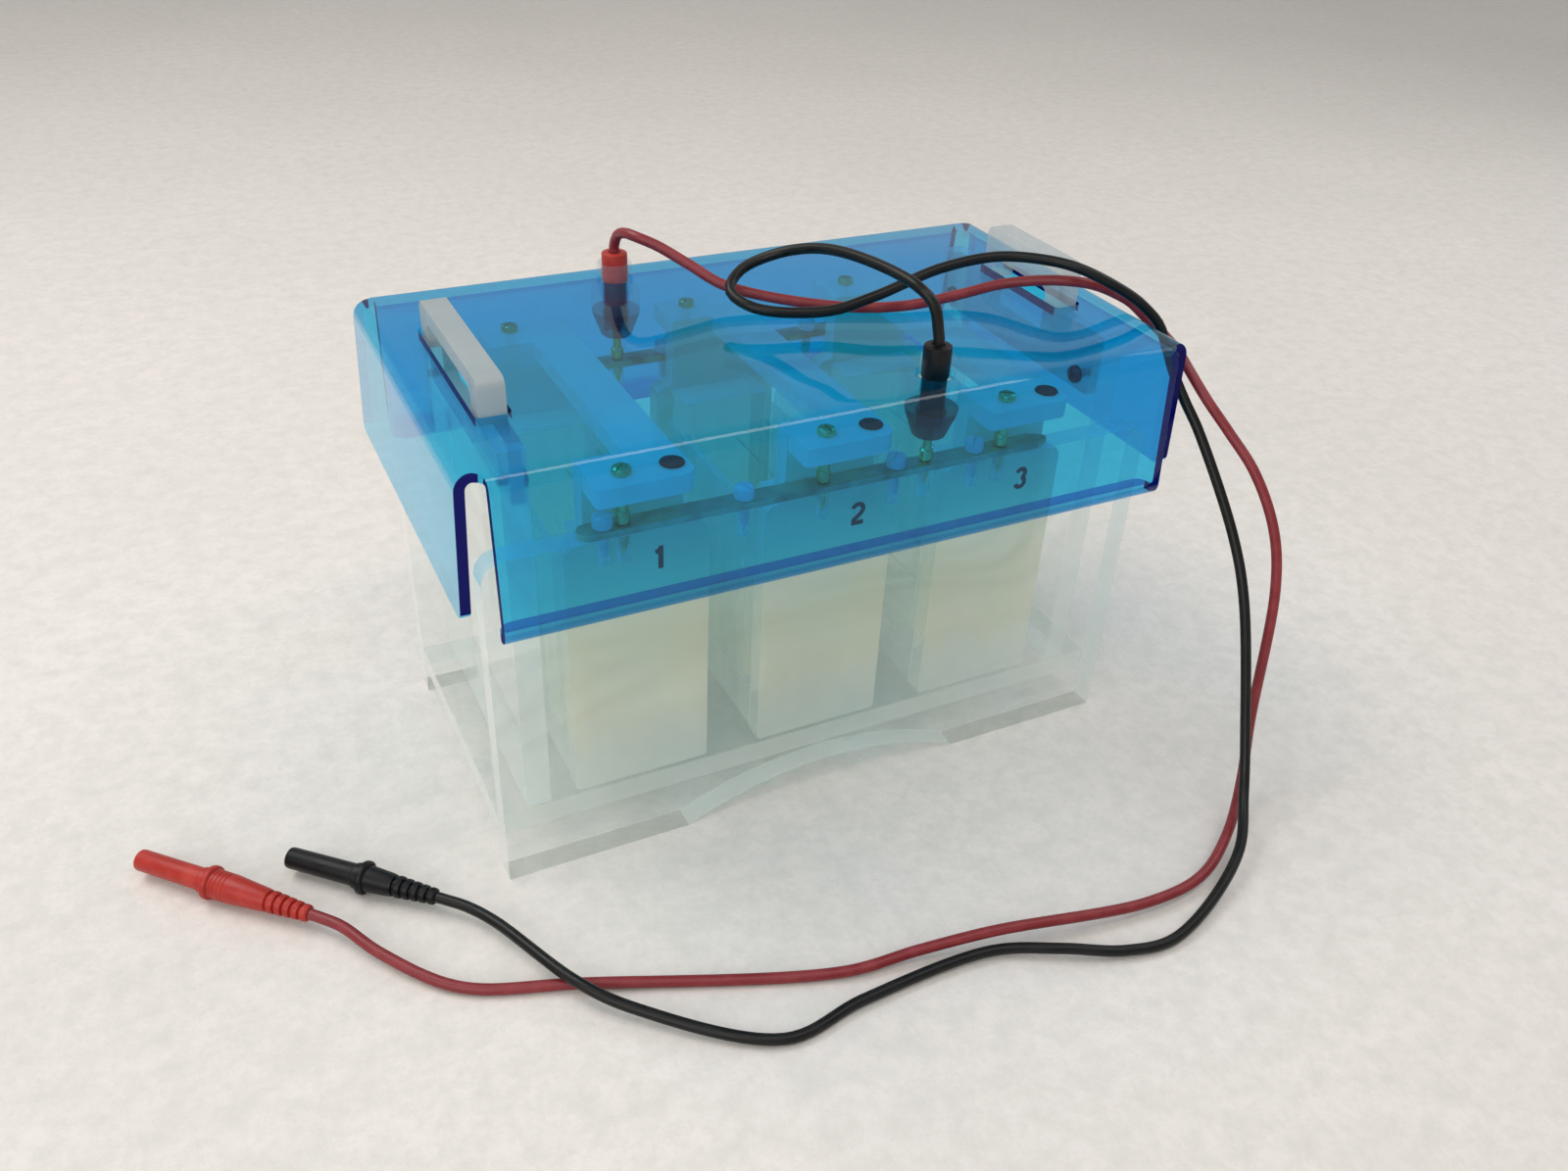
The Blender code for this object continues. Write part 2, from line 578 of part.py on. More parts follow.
def lid_shell():
    """The folded lid: a thick flat cross with filleted inner corners, bent along its sides, then cut."""
    end_bends, front_bends = lid_bends()
    bend = end_bends[0]
    bend_drop = folded(bend[0] + bend[1] + 1e-9, end_bends, 0)[0][1]
    end_reach = bend[0] + bend[1] + (LID_TOP - END_BOTTOM - bend_drop) / math.cos(END_SPLAY)
    lip = front_bends[1]
    lip_across = folded(lip[0] + lip[1] + 1e-9, front_bends, 0)[0][0]
    front_reach = lip[0] + lip[1] + lip_across - LIP_INNER

    quarter = [
        (end_reach, END_HALF, 0.005), (FRONT_HALF, END_HALF, 0.007), (FRONT_HALF, front_reach, 0.006),
    ]
    outline = quarter
    outline = outline + [(-u, v, r) for u, v, r in reversed(outline)]
    outline = outline + [(-u, -v, r) for u, v, r in outline]
    bm = prism(rounded(outline), "Z", -LID_SHEET, 0)
    for axis, bends in ((0, end_bends), (1, front_bends)):
        for start, length, *_ in bends:
            for step in range(BEND_STEPS + 1):
                for side in (-1, 1):
                    cut = [0.0, 0.0, 0.0]
                    cut[axis] = side * (start + length * step / BEND_STEPS)
                    normal = [0.0, 0.0, 0.0]
                    normal[axis] = 1.0
                    everything = bm.verts[:] + bm.edges[:] + bm.faces[:]
                    bmesh.ops.bisect_plane(bm, geom=everything, plane_co=cut, plane_no=normal, dist=1e-7)
    for vert in bm.verts:
        inside = vert.co.z < -LID_SHEET / 2
        across_x, drop_x = folded_straight(abs(vert.co.x), end_bends)[inside]
        across_y, drop_y = folded_straight(abs(vert.co.y), front_bends)[inside]
        drop = drop_x + drop_y - (LID_SHEET if inside else 0.0)
        vert.co = (math.copysign(across_x, vert.co.x), math.copysign(across_y, vert.co.y), LID_TOP - drop)
    obj = add_object("lid_shell", bm, "blue_acrylic")
    cutters = holes(LEADS.values(), SOCKET_HOLE, LID_TOP - 0.02, LID_TOP + 0.02, sides=20)
    for side, half, *_ in HANDLES.values():
        x = side * (WALL_OUTER_X - PLATE / 2)
        y = half + 0.0022
        low_x, high_x = x - SLOT_HALF_X, x + SLOT_HALF_X
        slot = rounded([(low_x, -y, 0.003), (high_x, -y, 0.003), (high_x, y, 0.003), (low_x, y, 0.003)])
        cutters.append(prism(slot, "Z", LID_TOP - 0.02, LID_TOP + 0.02))
    combine(obj, "DIFFERENCE", cutters)
    obj.data.shade_smooth()
    obj.data.set_sharp_from_angle(angle=math.radians(30))
    return obj


def folded_straight(distance, bends):
    """As folded, with the sheet straight between the bends' steps, so that each facet is flat."""
    for start, length, *_ in bends:
        share = (distance - start) / length * BEND_STEPS
        if 0 < share < BEND_STEPS:
            first = min(math.floor(share + 1e-6), BEND_STEPS - 1)
            weight = share - first
            low = folded(start + length * first / BEND_STEPS, bends, LID_SHEET)
            high = folded(start + length * (first + 1) / BEND_STEPS, bends, LID_SHEET)
            return [
                tuple(a + (b - a) * weight for a, b in zip(near, far))
                for near, far in zip(low, high)
            ]
    return folded(distance, bends, LID_SHEET)


def lead_socket(colour, x, y):
    """A clear collar through the lid with a hollow shroud below it, which guards the pin."""
    bottom_of_lid = LID_TOP - LID_SHEET - GAP
    profile = [
        (0.0062, 0.194), (0.0078, 0.194), (0.0120, 0.206), (0.0125, 0.209), (0.0125, bottom_of_lid),
        (0.0088, bottom_of_lid), (0.0088, 0.2330), (0.0073, 0.2330), (0.0073, 0.206), (0.0062, 0.203),
    ]
    shade_round(add_object(f"{colour}_lead_socket", turned(profile, (x, y, 0), sides=24), "clear_acrylic"))


def lead_plug(colour, x, y):
    """The moulded plug that sits in the socket. The cord leaves the middle of its cap."""
    profile = [
        (0.0050, 0.199), (0.0058, 0.2005), (0.0058, 0.2225), (0.0065, 0.2235), (0.0065, CAP_TOP - 0.0008),
        (0.0057, CAP_TOP),
    ]
    plug = turned(solid_round(profile), (x, y, 0), sides=20)
    shade_round(add_object(f"{colour}_lead_plug", plug, f"{colour}_plastic"))


def lead_pin(colour, x, y):
    """The gilt pin under a plug: it goes through the bus bar into the plate."""
    collar = BAR_TOP + 0.001
    profile = [
        (0.0006, 0.1670), (0.0020, 0.1725), (0.00215, collar), (0.0033, collar), (0.0033, collar + 0.0045),
        (0.0022, collar + 0.0053), (0.0022, 0.1987),
    ]
    shade_round(add_object(f"{colour}_lead_pin", turned(solid_round(profile), (x, y, 0)), "gold"))


def smooth_route(points, count):
    """Evenly spaced points on a centripetal Catmull-Rom curve through the route's points."""
    ends = [2 * points[0] - points[1], *points, 2 * points[-1] - points[-2]]
    dense = []
    for a, b, c, d in zip(ends, ends[1:], ends[2:], ends[3:]):
        knots = [0.0]
        for first, second in ((a, b), (b, c), (c, d)):
            knots.append(knots[-1] + math.sqrt((second - first).length))
        t0, t1, t2, t3 = knots
        for step in range(24):
            t = t1 + (t2 - t1) * step / 24
            ab = a.lerp(b, (t - t0) / (t1 - t0))
            bc = b.lerp(c, (t - t1) / (t2 - t1))
            cd = c.lerp(d, (t - t2) / (t3 - t2))
            first = ab.lerp(bc, (t - t0) / (t2 - t0))
            second = bc.lerp(cd, (t - t1) / (t3 - t1))
            dense.append(first.lerp(second, (t - t1) / (t2 - t1)))
    dense.append(points[-1])
    lengths = [0.0]
    for first, second in zip(dense, dense[1:]):
        lengths.append(lengths[-1] + (second - first).length)
    route = []
    k = 0
    for i in range(count):
        wanted = lengths[-1] * i / (count - 1)
        while k < len(dense) - 2 and lengths[k + 1] < wanted:
            k += 1
        route.append(dense[k].lerp(dense[k + 1], (wanted - lengths[k]) / (lengths[k + 1] - lengths[k])))
    return route


def cord(colour):
    curve = bpy.data.curves.new(f"{colour}_cord", "CURVE")
    curve.dimensions = "3D"
    curve.bevel_depth = CORD_RADIUS
    curve.bevel_resolution = 2
    curve.use_fill_caps = True
    start, *between, end = [Vector(point) / 1000 for point in ROUTES[colour]]
    route = [start, *smooth_route(between, CORD_POINTS - 2), end]
    spline = curve.splines.new("POLY")
    spline.points.add(len(route) - 1)
    for point, place in zip(spline.points, route):
        point.co = (*place, 1.0)
    curve.materials.append(MATERIALS[f"{colour}_cord"])
    obj = bpy.data.objects.new(f"{colour}_cord", curve)
    bpy.context.collection.objects.link(obj)


def test_plug(colour):
    """The shrouded plug on a cord's far end, lying on the surface: sleeve, flange, grip and ribbed relief."""
    end = Vector(ROUTES[colour][-1]) / 1000
    tip = Vector((*TEST_PLUG_TIP[colour], TEST_PLUG_Z))
    along = Vector((tip.x - end.x, tip.y - end.y, 0))
    length = along.length - GAP
    origin = Vector((end.x, end.y, TEST_PLUG_Z)) + along.normalized() * GAP
    profile = [(0.0034, 0.0)]
    ribs = 5
    for rib in range(ribs):
        base = 0.001 + rib * 0.0042
        radius = 0.0040 + rib * 0.00030
        profile += [(radius, base), (radius, base + 0.0026)]
        profile += [(radius - 0.0008, base + 0.0030), (radius - 0.0008, base + 0.0038)]
    profile += [
        (0.0054, 0.0225), (0.0068, 0.0420), (0.0068, length - 0.0420), (0.0080, length - 0.0410),
        (0.0080, length - 0.0385), (0.0060, length - 0.0375),
        (0.0060, length - 0.0350), (0.0052, length - 0.0345),
        (0.0050, length), (0.0036, length), (0.0034, length - 0.028),
    ]
    closed = [(0.0, profile[0][1]), *profile, (0.0, length - 0.028)]
    plug = turned(closed, origin, along, sides=18)
    shade_round(add_object(f"{colour}_test_plug", plug, f"{colour}_plastic"))


def build_tank():
    tank_plate("front_plate", -1)
    tank_plate("back_plate", 1)
    floor_plate()
    end_wall("left_end_wall", -1, HANDLES["left_handle"])
    end_wall("right_end_wall", 1, HANDLES["right_handle"])
    for name, handle in HANDLES.items():
        handle_plate(name, handle)
        handle_bolts(name, handle[0])
    for bar in ("cathode", "anode"):
        bus_bar(bar)
        bar_screws(bar)


def build_core(number, x):
    body = core_body(number, x, None)
    for side in (-1, 1):
        core_pin(number, x, side, body)
        cassette(number, x, side, body)
    polarity_dot(number, x, body)
    electrode(number, x, "cathode", 0.004, 0.140, body)
    electrode(number, x, "anode", -0.010, 0.068, body)
    tension_wedge(number, x)


def build_lid():
    lid_shell()
    for colour, (x, y) in LEADS.items():
        lead_socket(colour, x, y)
        lead_plug(colour, x, y)
        lead_pin(colour, x, y)
        cord(colour)
        test_plug(colour)


clear_scene()
MATERIALS = make_materials()
build_tank()
for core_number, core_x in core_centres():
    build_core(core_number, core_x)
build_lid()
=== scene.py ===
"""Looks of the gel electrophoresis tank: camera, lights, cords, finer pieces and procedural materials.

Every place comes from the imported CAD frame, in metres. The camera and the cords come first.
"""

import json
import math
import random

import bmesh
import bpy
from mathutils import Matrix, Vector

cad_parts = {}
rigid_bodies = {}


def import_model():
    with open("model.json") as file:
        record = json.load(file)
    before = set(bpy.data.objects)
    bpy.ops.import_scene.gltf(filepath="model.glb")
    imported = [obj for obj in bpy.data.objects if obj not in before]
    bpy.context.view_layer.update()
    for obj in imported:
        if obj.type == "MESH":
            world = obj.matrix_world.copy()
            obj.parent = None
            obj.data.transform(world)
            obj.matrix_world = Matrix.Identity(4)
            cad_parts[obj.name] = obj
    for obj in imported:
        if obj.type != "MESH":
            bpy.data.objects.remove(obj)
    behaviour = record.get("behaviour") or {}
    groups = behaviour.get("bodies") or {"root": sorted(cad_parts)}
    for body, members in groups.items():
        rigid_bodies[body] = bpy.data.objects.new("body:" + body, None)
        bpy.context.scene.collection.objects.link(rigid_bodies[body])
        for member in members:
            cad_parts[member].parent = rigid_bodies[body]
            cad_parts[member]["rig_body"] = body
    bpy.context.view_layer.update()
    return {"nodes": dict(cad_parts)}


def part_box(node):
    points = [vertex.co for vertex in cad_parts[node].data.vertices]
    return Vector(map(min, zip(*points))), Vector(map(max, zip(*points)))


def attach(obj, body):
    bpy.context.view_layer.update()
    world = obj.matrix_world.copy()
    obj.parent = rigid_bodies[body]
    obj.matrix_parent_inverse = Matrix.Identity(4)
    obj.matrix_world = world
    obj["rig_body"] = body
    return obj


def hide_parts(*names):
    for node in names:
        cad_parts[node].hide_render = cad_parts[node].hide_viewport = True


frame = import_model()
nodes = frame["nodes"]

# The camera that sees the object as its reference view does
CAMERA_PLACE = Vector((-0.26905, -0.53332, 0.46955))
CAMERA_AZIMUTH = math.radians(-27.97)
CAMERA_ELEVATION = math.radians(33.58)
CAMERA_ROLL = math.radians(2.95)
CAMERA_LENS = 30.35

CORD_DIAMETER = 0.0052
CORD_STEP = 0.004
CORES = (1, 2, 3)
ROUND = 40  # sides of a turned piece
NUMBER_HEIGHT = 0.0115
NUMBER_Z = 0.163
NUMBER_STROKE = 0.21  # of a number's height
CORE_NECK_Z = 0.165  # a core's panels end below this
PANEL_Y = 0.06  # and stand further out than this
LEAD_Y = 0.0793
LEAD_ROOM = (0.07, 0.012)  # half size of the box round a lead's hole, along X and Y
SLOT_HALF_Y = 0.06
LIP_Z = 0.1585  # the lid's lips lie below this
HOLES_Z = 0.2199  # and the rims of its holes above this
FLAT_TOP = (0.173, 0.0985)  # half size of the lid's flat top

# Routes of the cords in millimetres, the same points as the CAD tubes
ROUTES = {
    "red": (
        (-50, 79.3, 238.3), (-50, 79.3, 241), (-49.7, 76, 247), (-49, 67, 251.5), (-46, 58, 252),
        (-38, 51, 249), (-26, 40, 242), (-12, 27, 234), (33, 0, 227.6), (65, -12, 227.6),
        (97, -14, 230), (118, -18, 234), (133, -29, 238), (145, -38.5, 239.5), (157, -43, 237.5),
        (168, -46, 233), (176, -50, 228.5), (183, -55, 221.5), (188.5, -63, 215.5), (191.5, -74, 209),
        (192.5, -86, 201), (195, -97, 192), (201, -109, 180), (207, -127, 164), (211, -144, 140),
        (211, -155, 112), (199, -173, 43), (189, -186, 18), (162, -208, 9), (133, -223, 6),
        (98, -226, 6), (18, -213, 9.5), (-18, -206, 6), (-53, -201, 3.4), (-161, -159, 3.2),
        (-208, -140, 3.2), (-235, -110, 5.6), (-248, -89, 8), (-257, -79, 8.4), (-259, -77, 8.4),
    ),
    "black": (
        (43, -79.3, 238.3), (43, -79.3, 241), (40, -77, 256), (36, -69, 262), (28, -30, 263),
        (20, -3, 259), (8, 14, 252), (-8, 18, 245), (-18, 9, 239), (-12, -6, 235),
        (20, -18, 233.5), (45, -20, 238.5), (83, -16, 246), (112, -21, 250), (133, -34, 250),
        (146, -45, 247.5), (167, -59, 236.5), (175, -63, 230), (181.5, -67, 222.5), (184, -73, 212),
        (184.6, -81, 201.5), (186.5, -91, 190), (189, -101, 179), (195, -134, 135), (194, -152, 108),
        (186, -182, 48), (177, -199, 23), (156, -222, 11), (98, -247, 3.4), (71, -244, 4),
        (43, -232, 6), (14, -219, 4.5), (-52, -218, 3.4), (-92, -222, 3.2), (-145, -184, 7),
        (-163, -163, 9.6), (-185, -114, 7.6), (-194, -101, 8.2), (-203, -91.9, 8.4), (-205, -90, 8.4),
    ),
}


def body_of(node):
    return nodes[node]["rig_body"]


# ---------------------------------------------------------------- camera, floor and light


def add_camera():
    back = Vector((
        math.sin(CAMERA_AZIMUTH) * math.cos(CAMERA_ELEVATION),
        -math.cos(CAMERA_AZIMUTH) * math.cos(CAMERA_ELEVATION),
        math.sin(CAMERA_ELEVATION),
    ))
    right = Vector((0, 0, 1)).cross(back).normalized()
    up = back.cross(right)
    turned_right = right * math.cos(CAMERA_ROLL) + up * math.sin(CAMERA_ROLL)
    turned_up = up * math.cos(CAMERA_ROLL) - right * math.sin(CAMERA_ROLL)
    data = bpy.data.cameras.new("camera")
    data.lens = CAMERA_LENS
    data.sensor_width = 36
    data.clip_start = 0.01
    camera = bpy.data.objects.new("camera", data)
    axes = Matrix((turned_right, turned_up, back)).transposed()
    camera.matrix_world = Matrix.Translation(CAMERA_PLACE) @ axes.to_4x4()
    bpy.context.scene.collection.objects.link(camera)
    bpy.context.scene.camera = camera


def add_lamp(name, place, size, power, colour):
    data = bpy.data.lights.new(name, "AREA")
    data.shape = "RECTANGLE"
    data.size, data.size_y = size
    data.energy = power
    data.color = colour
    lamp = bpy.data.objects.new(name, data)
    lamp.location = place
    lamp.rotation_euler = (-Vector(place)).to_track_quat("-Z", "Y").to_euler()
    bpy.context.scene.collection.objects.link(lamp)


def add_stage():
    scene = bpy.context.scene
    scene.view_settings.view_transform = "Standard"
    scene.cycles.transparent_max_bounces = 40
    scene.cycles.max_bounces = 12
    scene.cycles.diffuse_bounces = 8
    world = bpy.data.worlds.new("studio")
    world.use_nodes = True
    world.node_tree.nodes["Background"].inputs["Color"].default_value = (1.0, 0.98, 0.955, 1)
    world.node_tree.nodes["Background"].inputs["Strength"].default_value = 0.47
    scene.world = world
    add_lamp("key", (-0.9, 0.7, 1.7), (1.3, 1.0), 17, (1.0, 0.98, 0.95))
    add_lamp("front", (-1.25, -1.0, 0.85), (1.4, 0.9), 9, (1.0, 0.98, 0.95))
    add_lamp("strip", (0.1, -0.75, 1.9), (2.4, 0.30), 9, (1.0, 1.0, 1.0))
    add_lamp("fill", (1.4, 0.2, 1.1), (1.0, 0.8), 4, (0.98, 0.98, 1.0))
    mesh = bpy.data.meshes.new("floor")
    reach = 4.0
    corners = [(-reach, -reach, 0), (reach, -reach, 0), (reach, reach, 0), (-reach, reach, 0)]
    mesh.from_pydata(corners, [], [(0, 1, 2, 3)])
    floor = bpy.data.objects.new("floor", mesh)
    scene.collection.objects.link(floor)
    mesh.materials.append(paper_material())


# ---------------------------------------------------------------- materials


def new_tree(name):
    material = bpy.data.materials.new(name)
    material.use_nodes = True
    tree = material.node_tree
    tree.nodes.clear()
    return material, tree


def put(tree, kind, inputs=None, **settings):
    """A node with its settings, its inputs linked to sockets or set to values."""
    made = tree.nodes.new("ShaderNode" + kind)
    for key, value in settings.items():
        setattr(made, key, value)
    for key, value in (inputs or {}).items():
        if isinstance(value, bpy.types.NodeSocket):
            tree.links.new(value, made.inputs[key])
        elif isinstance(value, tuple) and len(value) == 3 and made.inputs[key].type == "RGBA":
            made.inputs[key].default_value = (*value, 1)
        else:
            made.inputs[key].default_value = value
    return made


def finish_tree(tree, shader):
    put(tree, "OutputMaterial", {"Surface": shader})


def place_of(tree, stretch=(1, 1, 1)):
    """The point on the object, in metres, stretched along each axis."""
    point = put(tree, "TexCoord").outputs["Object"]
    return put(tree, "Mapping", {"Vector": point, "Scale": stretch}).outputs[0]


def noise(tree, scale, detail=3.0, stretch=(1, 1, 1), roughness=0.5):
    inputs = {"Vector": place_of(tree, stretch), "Scale": scale, "Detail": detail, "Roughness": roughness}
    return put(tree, "TexNoise", inputs).outputs["Fac"]


def spread(tree, value, low, high, from_low=0.3, from_high=0.7):
    """The value's middle range spread from low to high."""
    inputs = {"Value": value, "From Min": from_low, "From Max": from_high, "To Min": low, "To Max": high}
    return put(tree, "MapRange", inputs).outputs["Result"]


def blend_colours(tree, factor, first, second):
    inputs = {"Factor": factor, "A": first, "B": second}
    made = tree.nodes.new("ShaderNodeMix")
    made.data_type = "RGBA"
    sockets = {"Factor": made.inputs[0], "A": made.inputs[6], "B": made.inputs[7]}
    for key, value in inputs.items():
        if isinstance(value, bpy.types.NodeSocket):
            tree.links.new(value, sockets[key])
        else:
            sockets[key].default_value = (*value, 1) if isinstance(value, tuple) else value
    return made.outputs[2]


def bump(tree, height, strength, distance=0.0005):
    return put(tree, "Bump", {"Height": height, "Strength": strength, "Distance": distance}).outputs["Normal"]


def paper_material():
    """Soft white bench paper, mottled in small grey-green and pinkish flecks."""
    material, tree = new_tree("paper_floor")
    broad = noise(tree, 4, 3)
    flecks = noise(tree, 110, 6, roughness=0.7)
    fine = noise(tree, 260, 4)
    colour = blend_colours(tree, spread(tree, broad, 0, 1), (0.74, 0.705, 0.67), (0.78, 0.74, 0.705))
    blotches = noise(tree, 60, 5, roughness=0.65)
    colour = blend_colours(tree, spread(tree, blotches, 0, 0.40, 0.42, 0.7), colour, (0.56, 0.56, 0.52))
    colour = blend_colours(tree, spread(tree, flecks, 0, 0.60, 0.45, 0.7), colour, (0.62, 0.62, 0.575))
    colour = blend_colours(tree, spread(tree, fine, 0, 0.45, 0.5, 0.8), colour, (0.70, 0.61, 0.585))
    normal = bump(tree, flecks, 0.3, 0.002)
    shader = put(tree, "BsdfPrincipled", {"Base Color": colour, "Roughness": 0.9, "Normal": normal})
    finish_tree(tree, shader.outputs[0])
    return material


def mirror_share(tree, least=0.04, most=1.0):
    """How much a polished surface mirrors, from least when seen square on to most at a glancing angle."""
    facing = put(tree, "LayerWeight", {"Blend": 0.5}).outputs["Facing"]
    power = put(tree, "Math", {0: facing, 1: 5.0}, operation="POWER").outputs[0]
    return put(tree, "Math", {0: power, 1: most - least, 2: least}, operation="MULTIPLY_ADD").outputs[0]


def sheet_material(name, tint, haze, haze_colour, mirror, roughness=0.03):
    """Polished clear sheet: tinted, slightly milky in clouds, with faint wipe marks in its gloss."""
    material, tree = new_tree(name)
    cloud = spread(tree, noise(tree, 14, 4), haze * 0.6, haze * 1.4)
    clear = put(tree, "BsdfTransparent", {"Color": tint}).outputs[0]
    milky = put(tree, "BsdfDiffuse", {"Color": haze_colour}).outputs[0]
    body = put(tree, "MixShader", {0: cloud, 1: clear, 2: milky}).outputs[0]
    wipes = noise(tree, 25, 5, (1, 0.25, 2.5))
    normal = bump(tree, noise(tree, 18, 2), 0.05, 0.001)
    gloss = put(tree, "BsdfAnisotropic", {
        "Color": (1, 1, 1),
        "Roughness": spread(tree, wipes, roughness, roughness * 4),
        "Normal": normal,
    }).outputs[0]
    finish_tree(tree, put(tree, "MixShader", {0: mirror_share(tree, mirror), 1: body, 2: gloss}).outputs[0])
    return material


def cut_edge_material(name, tint, haze, haze_colour, least_mirror=0.05, most_mirror=1.0):
    """A sawn and flame-polished edge: saw lines, and much less clear than the sheet's faces."""
    material, tree = new_tree(name)
    saw = noise(tree, 420, 2, (1, 1, 0.1))
    share = spread(tree, saw, haze * 0.98, min(1.0, haze * 1.02))
    clear = put(tree, "BsdfTransparent", {"Color": tint}).outputs[0]
    milky = put(tree, "BsdfDiffuse", {"Color": haze_colour}).outputs[0]
    body = put(tree, "MixShader", {0: share, 1: clear, 2: milky}).outputs[0]
    normal = bump(tree, saw, 0.015, 0.0001)
    gloss = put(tree, "BsdfAnisotropic", {"Color": (1, 1, 1), "Roughness": 0.15, "Normal": normal}).outputs[0]
    shine = mirror_share(tree, least_mirror, most_mirror)
    finish_tree(tree, put(tree, "MixShader", {0: shine, 1: body, 2: gloss}).outputs[0])
    return material


def frosted_material(name, colour, shade, see_through, roughness=0.4, streaks=(1, 1, 0.15)):
    """Frosted moulding: lets light through, with flow streaks and a fine sand-blasted grain."""
    material, tree = new_tree(name)
    flow = noise(tree, 22, 4, streaks)
    tone = blend_colours(tree, spread(tree, flow, 0, 1), colour, shade)
    grain = noise(tree, 2500, 2)
    normal = bump(tree, grain, 0.12, 0.0002)
    rough = spread(tree, noise(tree, 40, 3), roughness * 0.85, roughness * 1.15)
    solid = put(tree, "BsdfPrincipled", {"Base Color": tone, "Roughness": rough, "Normal": normal})
    glow = put(tree, "BsdfTranslucent", {"Color": tone}).outputs[0]
    lit = put(tree, "MixShader", {0: 0.45, 1: solid.outputs[0], 2: glow}).outputs[0]
    clear = put(tree, "BsdfTransparent", {"Color": (0.975, 0.985, 0.98)}).outputs[0]
    share = spread(tree, flow, see_through * 0.8, see_through * 1.2)
    finish_tree(tree, put(tree, "MixShader", {0: share, 1: lit, 2: clear}).outputs[0])
    return material


def core_face_material():
    """A core's panel: milky cream with faint flow lines, whiter and clearer towards its foot."""
    material, tree = new_tree("core_panel")
    flow = noise(tree, 16, 4, (0.35, 1, 1.6))
    cream = blend_colours(tree, spread(tree, flow, 0, 1), (0.82, 0.79, 0.60), (0.93, 0.90, 0.76))
    height = put(tree, "SeparateXYZ", {0: put(tree, "TexCoord").outputs["Object"]}).outputs["Z"]
    streaks = noise(tree, 55, 3, (1, 1, 0.06))
    edge_height = put(tree, "Math", {0: streaks, 1: 0.03, 2: height}, operation="MULTIPLY_ADD").outputs[0]
    foot = spread(tree, edge_height, 0, 1, 0.052, 0.088)
    tone = blend_colours(tree, foot, (0.90, 0.93, 0.89), cream)
    grain = noise(tree, 1800, 2)
    solid = put(tree, "BsdfPrincipled", {
        "Base Color": tone,
        "Roughness": spread(tree, flow, 0.3, 0.45),
        "Normal": bump(tree, grain, 0.1, 0.0002),
    })
    glow = put(tree, "BsdfTranslucent", {"Color": tone}).outputs[0]
    lit = put(tree, "MixShader", {0: 0.4, 1: solid.outputs[0], 2: glow}).outputs[0]
    clear = put(tree, "BsdfTransparent", {"Color": (0.95, 0.97, 0.95)}).outputs[0]
    share = put(tree, "MapRange", {"Value": foot, "To Min": 0.50, "To Max": 0.24}).outputs["Result"]
    finish_tree(tree, put(tree, "MixShader", {0: share, 1: lit, 2: clear}).outputs[0])
    return material


def plastic_material(name, colour, worn, roughness=0.38, grain=900, specular=0.5):
    """Moulded plastic or rubber: a fine grain, lighter where it is rubbed."""
    material, tree = new_tree(name)
    rubs = noise(tree, 120, 4)
    tone = blend_colours(tree, spread(tree, rubs, 0, 1, 0.45, 0.8), colour, worn)
    fine = noise(tree, grain, 3)
    inputs = {
        "Base Color": tone,
        "Roughness": spread(tree, rubs, roughness * 0.8, roughness * 1.25),
        "Normal": bump(tree, fine, 0.15, 0.0002),
        "Specular IOR Level": specular,
    }
    finish_tree(tree, put(tree, "BsdfPrincipled", inputs).outputs[0])
    return material


def metal_material(name, colour, stain, roughness, stretch=(1, 1, 1)):
    """Metal with drawn lines, dull stains and small pits."""
    material, tree = new_tree(name)
    lines = noise(tree, 900, 3, stretch)
    stains = noise(tree, 70, 5)
    tone = blend_colours(tree, spread(tree, stains, 0, 1, 0.45, 0.7), colour, stain)
    inputs = {
        "Base Color": tone,
        "Metallic": 1.0,
        "Roughness": spread(tree, stains, roughness * 0.75, roughness * 1.5),
        "Normal": bump(tree, lines, 0.2, 0.0002),
    }
    finish_tree(tree, put(tree, "BsdfPrincipled", inputs).outputs[0])
    return material


